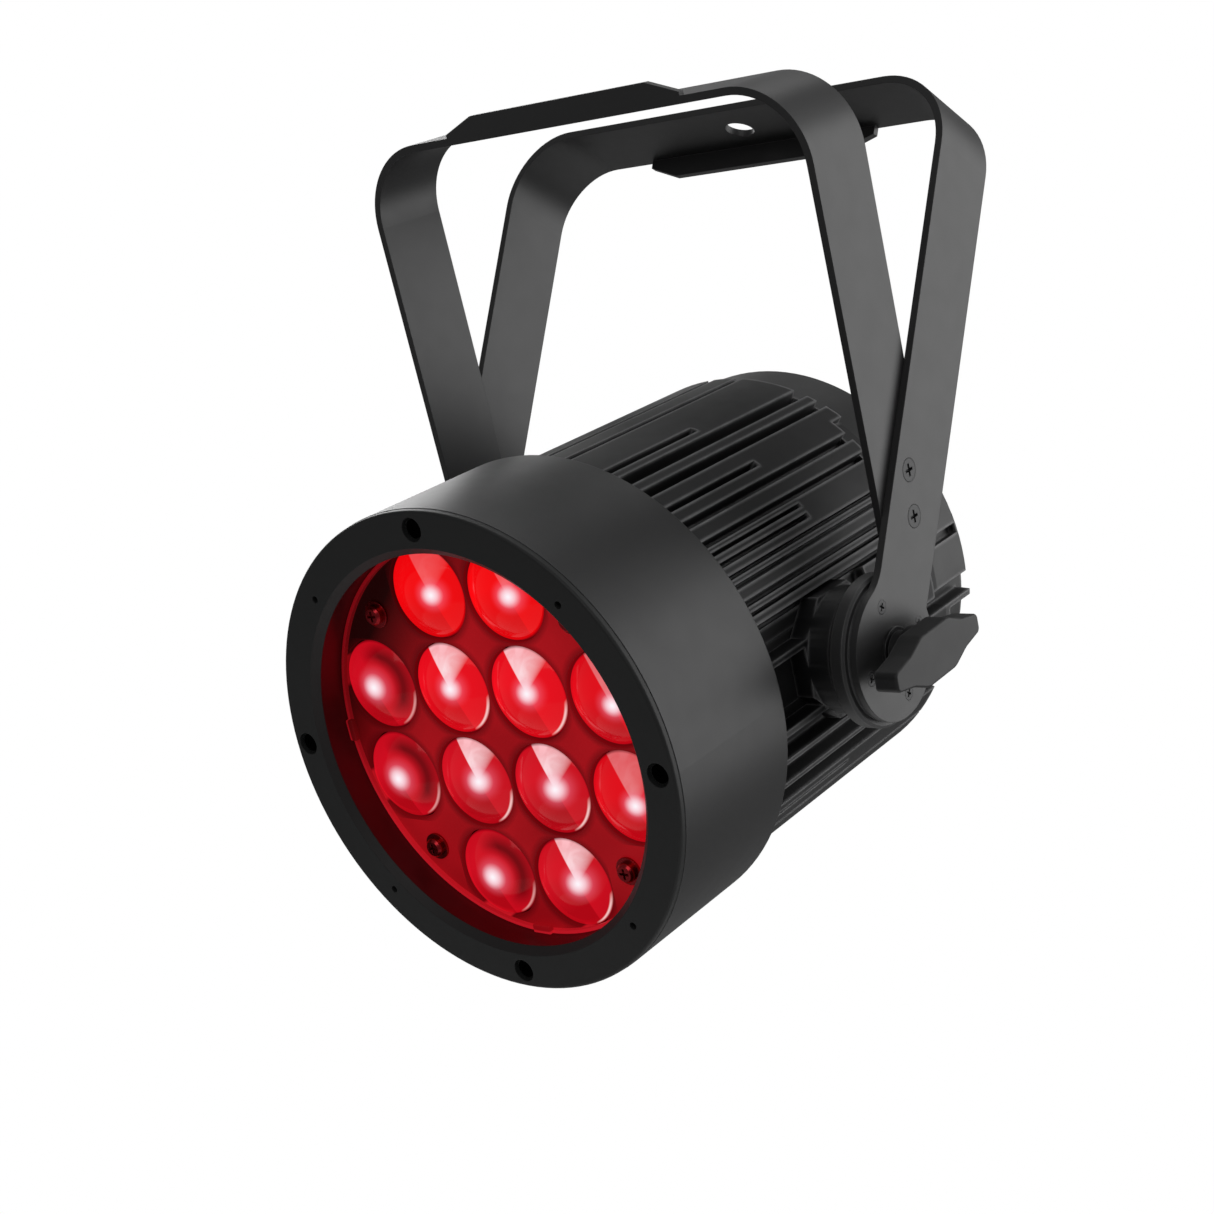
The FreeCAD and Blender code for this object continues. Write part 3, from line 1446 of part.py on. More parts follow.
def build_control_board():
    """The board behind the panel, its chips, and a switch in front of it for every button."""
    start = control_board_front
    thickness = "board_thickness"
    board = block("control_board_width", "control_board_height", thickness,
                  (0, size("control_board_row"), start))
    chip = "control_chip_width"
    chips = [
        block(chip, chip, thickness, (x, y, start + size("board_thickness")))
        for x, y in row_places(3, size("control_chip_pitch"), size("control_chip_row"))
    ]
    register(fuse(board, *chips), "control_board", HEAD)
    switch_start = start - size("switch_height")
    plunger_start = switch_start - size("plunger_height")
    switches = [
        fuse(
            block("switch_width", "switch_width", "switch_height", (x, y, switch_start)),
            cylinder("plunger_radius", "plunger_height", (x, y, plunger_start)),
        )
        for x, y in button_places.values()
    ]
    register(group(*switches), "button_switches", HEAD)


def build_button(name):
    place = button_places[name]
    front = panel_outside - size("button_height")
    body = new_body(f"button_{name}", HEAD)
    cap = new_sketch(body, "Cap", front)
    circle(cap, "button_radius", place)
    pad(body, cap, "button_height + panel_thickness + 0.5")
    fillet(body, "button_edge", lambda edge: is_circle(edge, size("button_radius"), front))
    flange = new_sketch(body, "Flange", panel_inside + 0.2)
    circle(flange, "button_radius + 1", place)
    pad(body, flange, "button_flange")


def build_connector(label):
    """A panel socket: a flange outside, a barrel through the panel and its contacts at the bottom."""
    x, y = connector_places[label]
    frame = HEAD.multiply(placed((x, y, panel_outside), turned((0, 1, 0), 180)))
    body = new_body(label, frame)
    flange = new_sketch(body, "Flange")
    rectangle(flange, "flange_width", "flange_height")
    pad(body, flange, "flange_thickness")
    fillet(body, "flange_corner", lambda edge: (
        abs(abs(edge.CenterOfMass.x) - size("flange_width") / 2) < 1e-3
        and abs(abs(edge.CenterOfMass.y) - size("flange_height") / 2) < 1e-3
    ))
    collar = new_sketch(body, "Collar", "flange_thickness")
    circle(collar, "connector_barrel - 0.4")
    pad(body, collar, "collar_height")
    barrel = new_sketch(body, "Barrel")
    circle(barrel, "connector_barrel")
    pad(body, barrel, "connector_depth - flange_thickness", downwards=True)
    mouth = size("flange_thickness") + size("collar_height") + 1
    bore = new_sketch(body, "Bore", mouth)
    circle(bore, "connector_bore")
    pocket(body, bore, mouth + size("connector_floor"))
    core = new_sketch(body, "Core", "-connector_floor")
    if label.startswith("power"):
        circle(core, "power_core_radius")
        pad(body, core, "power_core_height")
        contacts = new_sketch(body, "Contacts", "power_core_height - connector_floor")
        for place in around(3, size("power_blade_circle"), 90.0):
            rectangle(contacts, "power_blade_width", "power_blade_height", place)
        pocket(body, contacts, "power_blade_depth")
    else:
        for place in around(3, size("data_pin_circle"), 90.0):
            circle(core, "data_pin_radius", place)
        pad(body, core, "data_pin_height")
    screws = new_sketch(body, "ScrewHoles", "flange_thickness")
    x_shift, y_shift = flange_screw_shift
    for sign in (1, -1):
        circle(screws, "small_screw_radius", (-sign * x_shift, sign * y_shift))
    pocket(body, screws, "flange_thickness")


def build_fuse():
    """The fuse holder's sleeve and its slotted cap."""
    frame = HEAD.multiply(placed((0, size("fuse_row"), panel_outside), turned((0, 1, 0), 180)))
    length = size("fuse_length")
    rise = size("fuse_cap_rise")
    cap_length = size("fuse_cap_length")
    cap_start = size("fuse_collar") - cap_length
    sleeve = cylinder("fuse_radius", length, (0, 0, -length))
    collar = cone("fuse_radius + 2.5", "fuse_radius + 1.8", "fuse_collar")
    recess = cylinder("fuse_radius - fuse_wall", length, (0, 0, cap_start - 2))
    register(cut(fuse(sleeve, collar), recess), "fuse_holder", frame)
    cap = fuse(
        cylinder("fuse_radius - fuse_wall - 0.1", cap_length, (0, 0, cap_start)),
        cone("fuse_radius - 0.2", "fuse_radius - 0.8", rise, (0, 0, size("fuse_collar"))),
    )
    slot = block("fuse_radius * 1.3", "fuse_wall", rise, (0, 0, size("fuse_collar") + rise / 2))
    register(cut(cap, slot), "fuse_cap", frame)


def build_safety_eye():
    """An L bracket on the rear panel with a hole for a safety cable's hook."""
    row = size("eye_row")
    half = size("eye_width") / 2
    front_face = row + size("eye_thickness") / 2
    foot_depth = size("eye_foot_depth")
    foot_start = panel_outside - size("eye_foot")
    foot = block("eye_width", "eye_foot_depth", "eye_foot", (0, front_face - foot_depth / 2, foot_start))
    centre_z = panel_outside - size("eye_reach") + half
    arm = block("eye_width", "eye_thickness", panel_outside - centre_z, (0, row, centre_z))
    sideways = turned((1, 0, 0), 90)
    crown = cylinder(half, "eye_thickness", (0, front_face, centre_z), sideways)
    hole = cylinder("eye_hole_radius", "eye_thickness + 2", (0, front_face + 1, centre_z), sideways)
    screws = [
        cylinder("small_screw_radius", "eye_foot + 2", (x, y, foot_start - 1))
        for x, y in eye_screw_places()
    ]
    register(cut(fuse(foot, arm, crown), hole, *screws), "safety_eye", HEAD)


# ---------------------------------------------------------------------------------------------
# Build everything, check it and write one file for each piece
# ---------------------------------------------------------------------------------------------
def build_all():
    build_rear_strap()
    build_front_strap()
    build_strap_fasteners()
    build_pivot_rings()
    build_pivot_inserts()
    for side in ("right", "left"):
        build_spacer(side)
        build_knob(side)
        build_boss(side)
    build_bezel()
    build_bezel_screws()
    build_barrel()
    build_sleeve()
    build_housing()
    build_lens_plate()
    build_lenses()
    build_lens_tubes()
    build_carriage()
    build_lens_fasteners()
    build_guides()
    build_zoom_drive("upper", size("guide_offset"), size("guide_offset"))
    build_zoom_drive("lower", -size("guide_offset"), -size("guide_offset"))
    build_light_engine()
    build_fan_frame()
    build_fan_rotor()
    build_fan_screws()
    build_tray()
    build_driver_board()
    build_power_supply()
    build_rear_panel()
    build_panel_screws()
    build_display()
    build_control_board()
    for name in BUTTONS:
        build_button(name)
    for label in CONNECTORS:
        build_connector(label)
    build_fuse()
    build_safety_eye()


def write_parts():
    document.recompute()
    for item in document.Objects:
        if "Invalid" in item.State or "Error" in item.State:
            raise RuntimeError(f"{item.Label} failed to compute: {item.State}")
    os.makedirs("parts", exist_ok=True)
    for item in parts:
        if item.Shape.isNull() or not item.Shape.isValid():
            raise RuntimeError(f"{item.Label} has no valid shape")
        item.Shape.exportStep(os.path.join("parts", f"{item.Label}.step"))
    print(len(parts), "pieces written")


build_all()
write_parts()
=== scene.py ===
import json
import math

import bmesh
import bpy
from mathutils import Matrix, Vector


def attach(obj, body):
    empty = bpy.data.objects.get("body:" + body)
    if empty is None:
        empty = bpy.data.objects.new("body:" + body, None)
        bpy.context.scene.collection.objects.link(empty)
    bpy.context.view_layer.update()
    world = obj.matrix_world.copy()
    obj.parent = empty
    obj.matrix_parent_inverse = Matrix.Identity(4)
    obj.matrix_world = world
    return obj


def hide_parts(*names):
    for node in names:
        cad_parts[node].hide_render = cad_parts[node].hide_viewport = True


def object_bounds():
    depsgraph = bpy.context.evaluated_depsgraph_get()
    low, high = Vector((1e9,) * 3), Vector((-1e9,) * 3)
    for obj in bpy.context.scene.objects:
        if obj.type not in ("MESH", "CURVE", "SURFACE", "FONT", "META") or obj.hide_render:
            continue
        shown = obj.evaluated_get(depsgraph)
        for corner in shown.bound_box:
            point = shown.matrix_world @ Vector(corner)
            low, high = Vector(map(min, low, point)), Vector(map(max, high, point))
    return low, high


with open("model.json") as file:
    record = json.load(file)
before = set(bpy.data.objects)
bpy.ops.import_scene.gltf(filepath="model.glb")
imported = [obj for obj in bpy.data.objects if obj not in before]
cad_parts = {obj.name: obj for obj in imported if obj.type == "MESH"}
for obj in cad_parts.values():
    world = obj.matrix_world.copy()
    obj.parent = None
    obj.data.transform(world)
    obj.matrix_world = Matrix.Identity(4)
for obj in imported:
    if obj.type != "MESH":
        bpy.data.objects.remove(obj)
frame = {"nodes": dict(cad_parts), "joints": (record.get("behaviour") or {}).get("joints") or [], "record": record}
cad_box = [list(corner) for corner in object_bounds()]

# A stage par light hanging in its yoke. Everything is in metres, in the CAD model's frame.
MM = 0.001
nodes = frame["nodes"]
joints = {joint["name"]: joint for joint in frame["joints"]}
scene = bpy.context.scene

# ---------------------------------------------------------------------------------------------
# The lamp head's own frame: origin on the tilt axis, Z forwards along the light, Y up, X right
# ---------------------------------------------------------------------------------------------
pivot = Vector(joints["head_tilt"]["pos_m"])
forward = Vector(joints["zoom_slide"]["axis"]).normalized()
right = Vector((1, 0, 0))
up = forward.cross(right)
HEAD = Matrix.Translation(pivot) @ Matrix((right, up, forward)).transposed().to_4x4()


def local_box(name, place=HEAD):
    """Lowest and highest corner of a CAD node in a local frame."""
    inverse = place.inverted()
    points = [inverse @ vertex.co for vertex in nodes[name].data.vertices]
    low = Vector([min(point[axis] for point in points) for axis in range(3)])
    high = Vector([max(point[axis] for point in points) for axis in range(3)])
    return low, high


# ---------------------------------------------------------------------------------------------
# Mesh helpers
# ---------------------------------------------------------------------------------------------
def make_object(name, mesh, place):
    """A mesh object in the scene, at a place given as a matrix."""
    made = bpy.data.objects.new(name, mesh)
    made.matrix_world = place
    scene.collection.objects.link(made)
    return made


def smooth(mesh, sharp_degrees=35.0):
    """Shade a mesh smooth, but for the edges that turn by more than this."""
    for polygon in mesh.polygons:
        polygon.use_smooth = True
    mesh.set_sharp_from_angle(angle=math.radians(sharp_degrees))


def lathe_mesh(name, profile, segments):
    """Turn a (radius, height) profile around local Z."""
    shape = bmesh.new()
    rings = []
    for radius, height in profile:
        if radius < 1e-7:
            rings.append([shape.verts.new((0, 0, height))])
            continue
        rings.append([
            shape.verts.new((
                radius * math.cos(math.tau * step / segments),
                radius * math.sin(math.tau * step / segments),
                height,
            ))
            for step in range(segments)
        ])
    for lower, upper in zip(rings, rings[1:]):
        for step in range(segments):
            following = (step + 1) % segments
            corners = [lower[step % len(lower)], lower[following % len(lower)],
                       upper[following % len(upper)], upper[step % len(upper)]]
            distinct = list(dict.fromkeys(corners))
            if len(distinct) > 2:
                shape.faces.new(distinct)
    bmesh.ops.recalc_face_normals(shape, faces=shape.faces)
    mesh = bpy.data.meshes.new(name)
    shape.to_mesh(mesh)
    shape.free()
    smooth(mesh)
    return mesh


def dress(item, material):
    """Give a CAD node or a piece one material in place of those it has."""
    item.data.materials.clear()
    item.data.materials.append(material)


def finish(piece, body, slot, material, *replaced):
    """Give a finished piece its material and its body, and hide the CAD nodes it stands for. The slot argument is
    not used.
    """
    dress(piece, material)
    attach(piece, body)
    if replaced:
        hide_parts(*replaced)
    return piece


# ---------------------------------------------------------------------------------------------
# Lens shape: a short cylindrical edge below a spherical crown
# ---------------------------------------------------------------------------------------------
LENS_RADIUS = 18.6 * MM
LENS_EDGE = 3.0 * MM
lens_low, lens_high = local_box("zoom_lenses")
lens_pitch = (lens_high.x - LENS_RADIUS) / 1.5
lens_depth = lens_high.z - lens_low.z
crown_depth = lens_depth - LENS_EDGE
crown_ball = (LENS_RADIUS ** 2 + crown_depth ** 2) / (2 * crown_depth)


def crown_height(radius):
    """Height of the lens's crown above its back, at a distance from the lens's axis."""
    return lens_depth - crown_ball + math.sqrt(crown_ball ** 2 - radius ** 2)


# ---------------------------------------------------------------------------------------------
# Materials
# ---------------------------------------------------------------------------------------------
def new_material(name):
    """A new node material, its tree and its shader."""
    material = bpy.data.materials.new(name)
    material.use_nodes = True
    tree = material.node_tree
    return material, tree, tree.nodes["Principled BSDF"]


def noise(tree, size_mm, detail=3.0, distortion=0.0):
    """Noise with features of about this size on the object."""
    coordinates = tree.nodes.new("ShaderNodeTexCoord")
    made = tree.nodes.new("ShaderNodeTexNoise")
    made.inputs["Scale"].default_value = 1.0 / (size_mm * MM)
    made.inputs["Detail"].default_value = detail
    made.inputs["Distortion"].default_value = distortion
    tree.links.new(coordinates.outputs["Object"], made.inputs["Vector"])
    return made.outputs["Fac"]


def ranged(tree, value, low, high, start=0.3, end=0.7):
    """Map a value from one range to another."""
    made = tree.nodes.new("ShaderNodeMapRange")
    made.inputs["From Min"].default_value = start
    made.inputs["From Max"].default_value = end
    made.inputs["To Min"].default_value = low
    made.inputs["To Max"].default_value = high
    tree.links.new(value, made.inputs["Value"])
    return made.outputs["Result"]


def mixed(tree, factor, first, second):
    """Mix two colours, each a socket or an RGB triple."""
    made = tree.nodes.new("ShaderNodeMix")
    made.data_type = "RGBA"
    tree.links.new(factor, made.inputs["Factor"])
    for socket, colour in (("A", first), ("B", second)):
        target = next(item for item in made.inputs if item.name == socket and item.type == "RGBA")
        if isinstance(colour, tuple):
            target.default_value = (*colour, 1.0)
        else:
            tree.links.new(colour, target)
    return next(item for item in made.outputs if item.type == "RGBA")


def add_bump(tree, shader, height, depth_mm, rounding_mm=None):
    """Surface relief, on top of normals that round the edges by a radius where one is given."""
    made = tree.nodes.new("ShaderNodeBump")
    made.inputs["Distance"].default_value = depth_mm * MM
    tree.links.new(height, made.inputs["Height"])
    if rounding_mm is not None:
        tree.links.new(rounded_normal(tree, rounding_mm), made.inputs["Normal"])
    tree.links.new(made.outputs["Normal"], shader.inputs["Normal"])


def rounded_normal(tree, radius_mm):
    """The surface's normal with the edges rounded by a radius."""
    rounding = tree.nodes.new("ShaderNodeBevel")
    rounding.samples = 6
    rounding.inputs["Radius"].default_value = radius_mm * MM
    return rounding.outputs["Normal"]


def calculated(tree, operation, first, second=0.0):
    """The result of a maths node on sockets or numbers."""
    made = tree.nodes.new("ShaderNodeMath")
    made.operation = operation
    for socket, value in zip(made.inputs, (first, second)):
        if isinstance(value, (int, float)):
            socket.default_value = value
        else:
            tree.links.new(value, socket)
    return made.outputs["Value"]


def product(tree, *factors):
    """The product of sockets and numbers, of which the first is a socket."""
    result = factors[0]
    for factor in factors[1:]:
        result = calculated(tree, "MULTIPLY", result, factor)
    return result


def length(tree, x, y):
    """The distance of a point (x, y) from the origin."""
    return calculated(tree, "SQRT", calculated(tree, "ADD", product(tree, x, x), product(tree, y, y)))


def head_coordinate(tree, direction):
    """How far a point of a CAD node lies from the tilt axis along a direction."""
    coordinates = tree.nodes.new("ShaderNodeTexCoord")
    made = tree.nodes.new("ShaderNodeVectorMath")
    made.operation = "DOT_PRODUCT"
    made.inputs[1].default_value = direction
    tree.links.new(coordinates.outputs["Object"], made.inputs[0])
    return calculated(tree, "SUBTRACT", made.outputs["Value"], pivot.dot(direction))


def edge_mask(tree, width_mm):
    """One along sharp edges, where a lighter colour is painted on as an edge highlight, and zero on flat faces."""
    geometry = tree.nodes.new("ShaderNodeNewGeometry")
    agreement = tree.nodes.new("ShaderNodeVectorMath")
    agreement.operation = "DOT_PRODUCT"
    tree.links.new(rounded_normal(tree, width_mm), agreement.inputs[0])
    tree.links.new(geometry.outputs["Normal"], agreement.inputs[1])
    return ranged(tree, agreement.outputs["Value"], 1.0, 0.0, start=0.80, end=0.99)


def coated(name, colour, roughness, grain_mm=0.5, grain_depth=0.012, specular=0.5,
           edge=None, edge_mm=0.5, metallic=0.0, variation=0.06):
    """A painted, coated or moulded surface with grain, uneven gloss and, if asked, a painted highlight along its
    sharp edges, broken up by noise.
    """
    material, tree, shader = new_material(name)
    shader.inputs["Metallic"].default_value = metallic
    shader.inputs["Specular IOR Level"].default_value = specular
    cloud = noise(tree, 38.0, detail=4.0)
    darker = tuple(channel * (1.0 - variation) for channel in colour)
    lighter = tuple(channel * (1.0 + variation) for channel in colour)
    shade = mixed(tree, ranged(tree, cloud, 0.0, 1.0), darker, lighter)
    if edge is not None:
        # The lighter edge colour is a painted highlight along sharp edges, made uneven by noise.
        edge_highlight = product(tree, edge_mask(tree, edge_mm), ranged(tree, noise(tree, 6.0), 0.55, 1.0))
        shade = mixed(tree, edge_highlight, shade, edge)
    tree.links.new(shade, shader.inputs["Base Color"])
    uneven = ranged(tree, noise(tree, 9.0, detail=5.0), roughness - 0.015, roughness + 0.015)
    tree.links.new(uneven, shader.inputs["Roughness"])
    add_bump(tree, shader, noise(tree, grain_mm, detail=2.0), grain_depth, rounding_mm=0.4)
    return material


def bare_metal(name, colour, roughness, grain_mm=0.3, grain_depth=0.004):
    """A bare or plated metal surface."""
    return coated(name, colour, roughness, grain_mm, grain_depth, metallic=1.0, variation=0.12)


# Each edge colour below is a painted highlight along the part's sharp edges.
MATERIALS = {
    "yoke_paint": coated("Yoke powder coat", (0.020, 0.020, 0.0205), 0.42, 0.55, 0.008,
                         edge=(0.05, 0.05, 0.052), edge_mm=0.35),
    "housing_paint": coated("Housing powder coat", (0.012, 0.012, 0.0125), 0.46, 0.5, 0.008,
                            edge=(0.10, 0.10, 0.102), edge_mm=0.6),
    "bezel_paint": coated("Bezel paint", (0.017, 0.0175, 0.0175), 0.5, 0.5, 0.006, specular=0.3,
                          edge=(0.03, 0.03, 0.03), edge_mm=0.3),
    "boss_paint": coated("Boss casting paint", (0.006, 0.006, 0.0065), 0.5, 0.6, 0.012, specular=0.25,
                         edge=(0.17, 0.17, 0.172), edge_mm=2.2),
    "panel_paint": coated("Panel powder coat", (0.02, 0.02, 0.021), 0.5, 0.45, 0.02),
    "spacer_plastic": coated("Spacer moulding", (0.020, 0.020, 0.0205), 0.45, 0.4, 0.006,
                             edge=(0.12, 0.12, 0.122), edge_mm=1.6),
    "knob_plastic": coated("Knob moulding", (0.015, 0.015, 0.0155), 0.46, 0.35, 0.008, specular=0.32,
                           edge=(0.07, 0.07, 0.071), edge_mm=1.4),
    "friction_pad": coated("Friction pad", (0.05, 0.045, 0.04), 0.85, 0.8, 0.05, specular=0.2),
    "black_screw": coated("Black oxide screws", (0.02, 0.02, 0.021), 0.38, 0.3, 0.004, metallic=0.4,
                          edge=(0.16, 0.16, 0.16), edge_mm=0.35),
    "bright_screw": bare_metal("Screws in red light", (0.34, 0.018, 0.024), 0.28),
    "zinc_steel": bare_metal("Zinc plate", (0.60, 0.60, 0.58), 0.35),
    "rod_steel": bare_metal("Ground steel", (0.65, 0.65, 0.66), 0.2),
    "motor_steel": bare_metal("Sheet steel", (0.35, 0.35, 0.36), 0.45),
    "bare_aluminium": bare_metal("Mill aluminium", (0.75, 0.75, 0.76), 0.4),
    "brass": bare_metal("Turned brass", (0.75, 0.56, 0.28), 0.3),
    "carriage_plastic": coated("Carriage moulding", (0.03, 0.03, 0.03), 0.5),
    "fan_plastic": coated("Fan moulding", (0.02, 0.02, 0.02), 0.45),
    "board": coated("Solder mask", (0.02, 0.10, 0.05), 0.35, 1.2, 0.02),
    "emitter": coated("Lit emitter", (0.9, 0.15, 0.12), 0.3),
    "display_glass": coated("Display window", (0.008, 0.012, 0.03), 0.08, 3.0, 0.0005, variation=0.1),
    "display_plastic": coated("Display moulding", (0.03, 0.03, 0.035), 0.5),
    "button_plastic": coated("Button moulding", (0.06, 0.06, 0.063), 0.5, 0.3, 0.008),
    "inlet_plastic": coated("Blue socket moulding", (0.010, 0.055, 0.28), 0.42, 0.35, 0.008),
    "outlet_plastic": coated("Grey socket moulding", (0.42, 0.43, 0.44), 0.42, 0.35, 0.008),
    "socket_metal": coated("Socket black chromate", (0.02, 0.02, 0.021), 0.35, 0.3, 0.006, metallic=0.5,
                           edge=(0.12, 0.12, 0.12), edge_mm=0.4),
    "fuse_plastic": coated("Fuse holder moulding", (0.014, 0.014, 0.014), 0.45, 0.35, 0.008),
}


FINS_END = -80.1 * MM


def fin_material():
    """The housing's coat: duller on the fins than on the cowl behind them, with a painted highlight along the
    fins' edges.
    """
    material, tree, shader = new_material("Finned housing powder coat")
    cowl = ranged(tree, head_coordinate(tree, forward), 1.0, 0.0, FINS_END - 0.5 * MM, FINS_END)
    body = mixed(tree, cowl, (0.0085, 0.0085, 0.009), (0.014, 0.014, 0.0145))
    # A lighter colour along the fins' edges, a painted edge highlight.
    edges = product(tree, edge_mask(tree, 3.0), ranged(tree, noise(tree, 9.0), 0.6, 1.0))
    tree.links.new(mixed(tree, edges, body, (0.23, 0.23, 0.233)), shader.inputs["Base Color"])
    shader.inputs["Specular IOR Level"].default_value = 0.4
    matt = calculated(tree, "SUBTRACT", ranged(tree, noise(tree, 9.0, detail=5.0), 0.61, 0.65),
                      product(tree, cowl, 0.18))
    tree.links.new(matt, shader.inputs["Roughness"])
    add_bump(tree, shader, noise(tree, 0.5, detail=2.0), 0.008, rounding_mm=0.5)
    return material


def lens_shadow_ring(tree, x, y):
    """The mask of the painted shadow ring around each lens: one beside a lens, falling to zero a few millimetres
    away from it.
    """
    cells = []
    for offset in (x, y):
        wrapped = tree.nodes.new("ShaderNodeMath")
        wrapped.operation = "WRAP"
        tree.links.new(offset, wrapped.inputs[0])
        wrapped.inputs[1].default_value = lens_pitch
        wrapped.inputs[2].default_value = 0.0
        cells.append(calculated(tree, "SUBTRACT", wrapped.outputs["Value"], lens_pitch / 2))
    outer = [calculated(tree, "GREATER_THAN", calculated(tree, "ABSOLUTE", offset), lens_pitch)
             for offset in (x, y)]
    inside_grid = calculated(tree, "SUBTRACT", 1.0, product(tree, *outer))
    near = ranged(tree, length(tree, *cells), 1.0, 0.0, LENS_RADIUS + 0.5 * MM, LENS_RADIUS + 3.6 * MM)
    return product(tree, near, inside_grid)


def lens_plate_material():
    """The black lens plate as the lamp's own red light shows it, fading out at the upper left."""
    material, tree, shader = new_material("Lens plate in red light")
    light = ranged(tree, head_coordinate(tree, right * 0.75 - up * 0.66), 0.0, 1.0, -0.070, -0.030)
    cloud = ranged(tree, noise(tree, 45.0, detail=2.0), 0.0, 1.0, 0.35, 0.65)
    lit = mixed(tree, cloud, (0.25, 0.003, 0.006), (0.34, 0.005, 0.009))
    shade = mixed(tree, light, (0.012, 0.001, 0.001), lit)
    x, y = head_coordinate(tree, right), head_coordinate(tree, up)
    # A painted shadow ring, darker red, around each lens.
    shade = mixed(tree, product(tree, lens_shadow_ring(tree, x, y), 0.62), shade, (0.05, 0.001, 0.002))
    edge = length(tree, x, y)
    plate_radius = local_box("lens_plate")[1].x
    # A painted highlight along the plate's raised rim, dimmer where the painted light fades.
    rim = ranged(tree, edge, 0.0, 1.0, plate_radius - 1.8 * MM, plate_radius - 1.3 * MM)
    rim_colour = mixed(tree, light, (0.20, 0.003, 0.006), (0.52, 0.009, 0.018))
    shade = mixed(tree, rim, shade, rim_colour)
    tree.links.new(shade, shader.inputs["Base Color"])
    tree.links.new(ranged(tree, noise(tree, 8.0), 0.30, 0.42), shader.inputs["Roughness"])
    # The plate glows with this painted red light, though it is no lamp.
    tree.links.new(shade, shader.inputs["Emission Color"])
    shader.inputs["Emission Strength"].default_value = 0.72
    shader.inputs["Specular IOR Level"].default_value = 0.06
    add_bump(tree, shader, noise(tree, 0.6), 0.004, rounding_mm=0.4)
    return material


def sleeve_material():
    """The sleeve in front of the lenses as the lamp's own red light shows it."""
    material, tree, shader = new_material("Sleeve in red light")
    cloud = ranged(tree, noise(tree, 30.0), 0.0, 1.0)
    shade = mixed(tree, cloud, (0.045, 0.002, 0.004), (0.075, 0.003, 0.006))
    tree.links.new(shade, shader.inputs["Base Color"])
    tree.links.new(ranged(tree, noise(tree, 6.0), 0.30, 0.42), shader.inputs["Roughness"])
    add_bump(tree, shader, noise(tree, 0.5), 0.008)
    return material


# How the lenses of a group look when lit, all of it painted light and shade: the red of the body and of its
# painted shaded side, where the painted hot spot lies and how large it is, how strongly the pale painted facet
# highlight shows, and how strong the painted dark crescent of shade and the rim's painted glint are. Places are in
# lens radii, right and up from the lens's middle.
LENS_LOOKS = {
    "top": {
        "body": (0.92, 0.002, 0.004), "shaded": (0.70, 0.001, 0.003), "hot_spot": (0.40, 0.06), "hot": 0.85,
        "facet_highlight": 0.15, "crescent": 0.0, "glint": 0.0,
    },
    "upper": {
        "body": (0.84, 0.004, 0.012), "shaded": (0.62, 0.002, 0.007), "hot_spot": (0.29, 0.14), "hot": 0.9,
        "facet_highlight": 1.0, "crescent": 0.0, "glint": 1.0,
    },
    "lower": {
        "body": (0.66, 0.006, 0.016), "shaded": (0.42, 0.002, 0.007), "hot_spot": (0.40, 0.17), "hot": 1.0,
        "facet_highlight": 1.0, "crescent": 0.0, "glint": 1.0,
    },
    "edge": {
        "body": (0.62, 0.004, 0.014), "shaded": (0.42, 0.002, 0.007), "hot_spot": (0.16, 0.08), "hot": 1.05,
        "facet_highlight": 0.0, "crescent": 0.95, "glint": 0.5,
    },
    "side": {
        "body": (0.74, 0.003, 0.009), "shaded": (0.50, 0.002, 0.007), "hot_spot": (0.34, 0.0), "hot": 0.85,
        "facet_highlight": 0.28, "crescent": 0.0, "glint": 0.0,
    },
}
# The edge between the painted shade and the pale painted facet highlight: its angle across the lens, and the lean
# of its plane.
# The lean was chosen so that the edge looks straight on the crown from the photograph's side.
SPLIT_DEGREES = 113.5
SPLIT_LEAN = -0.96


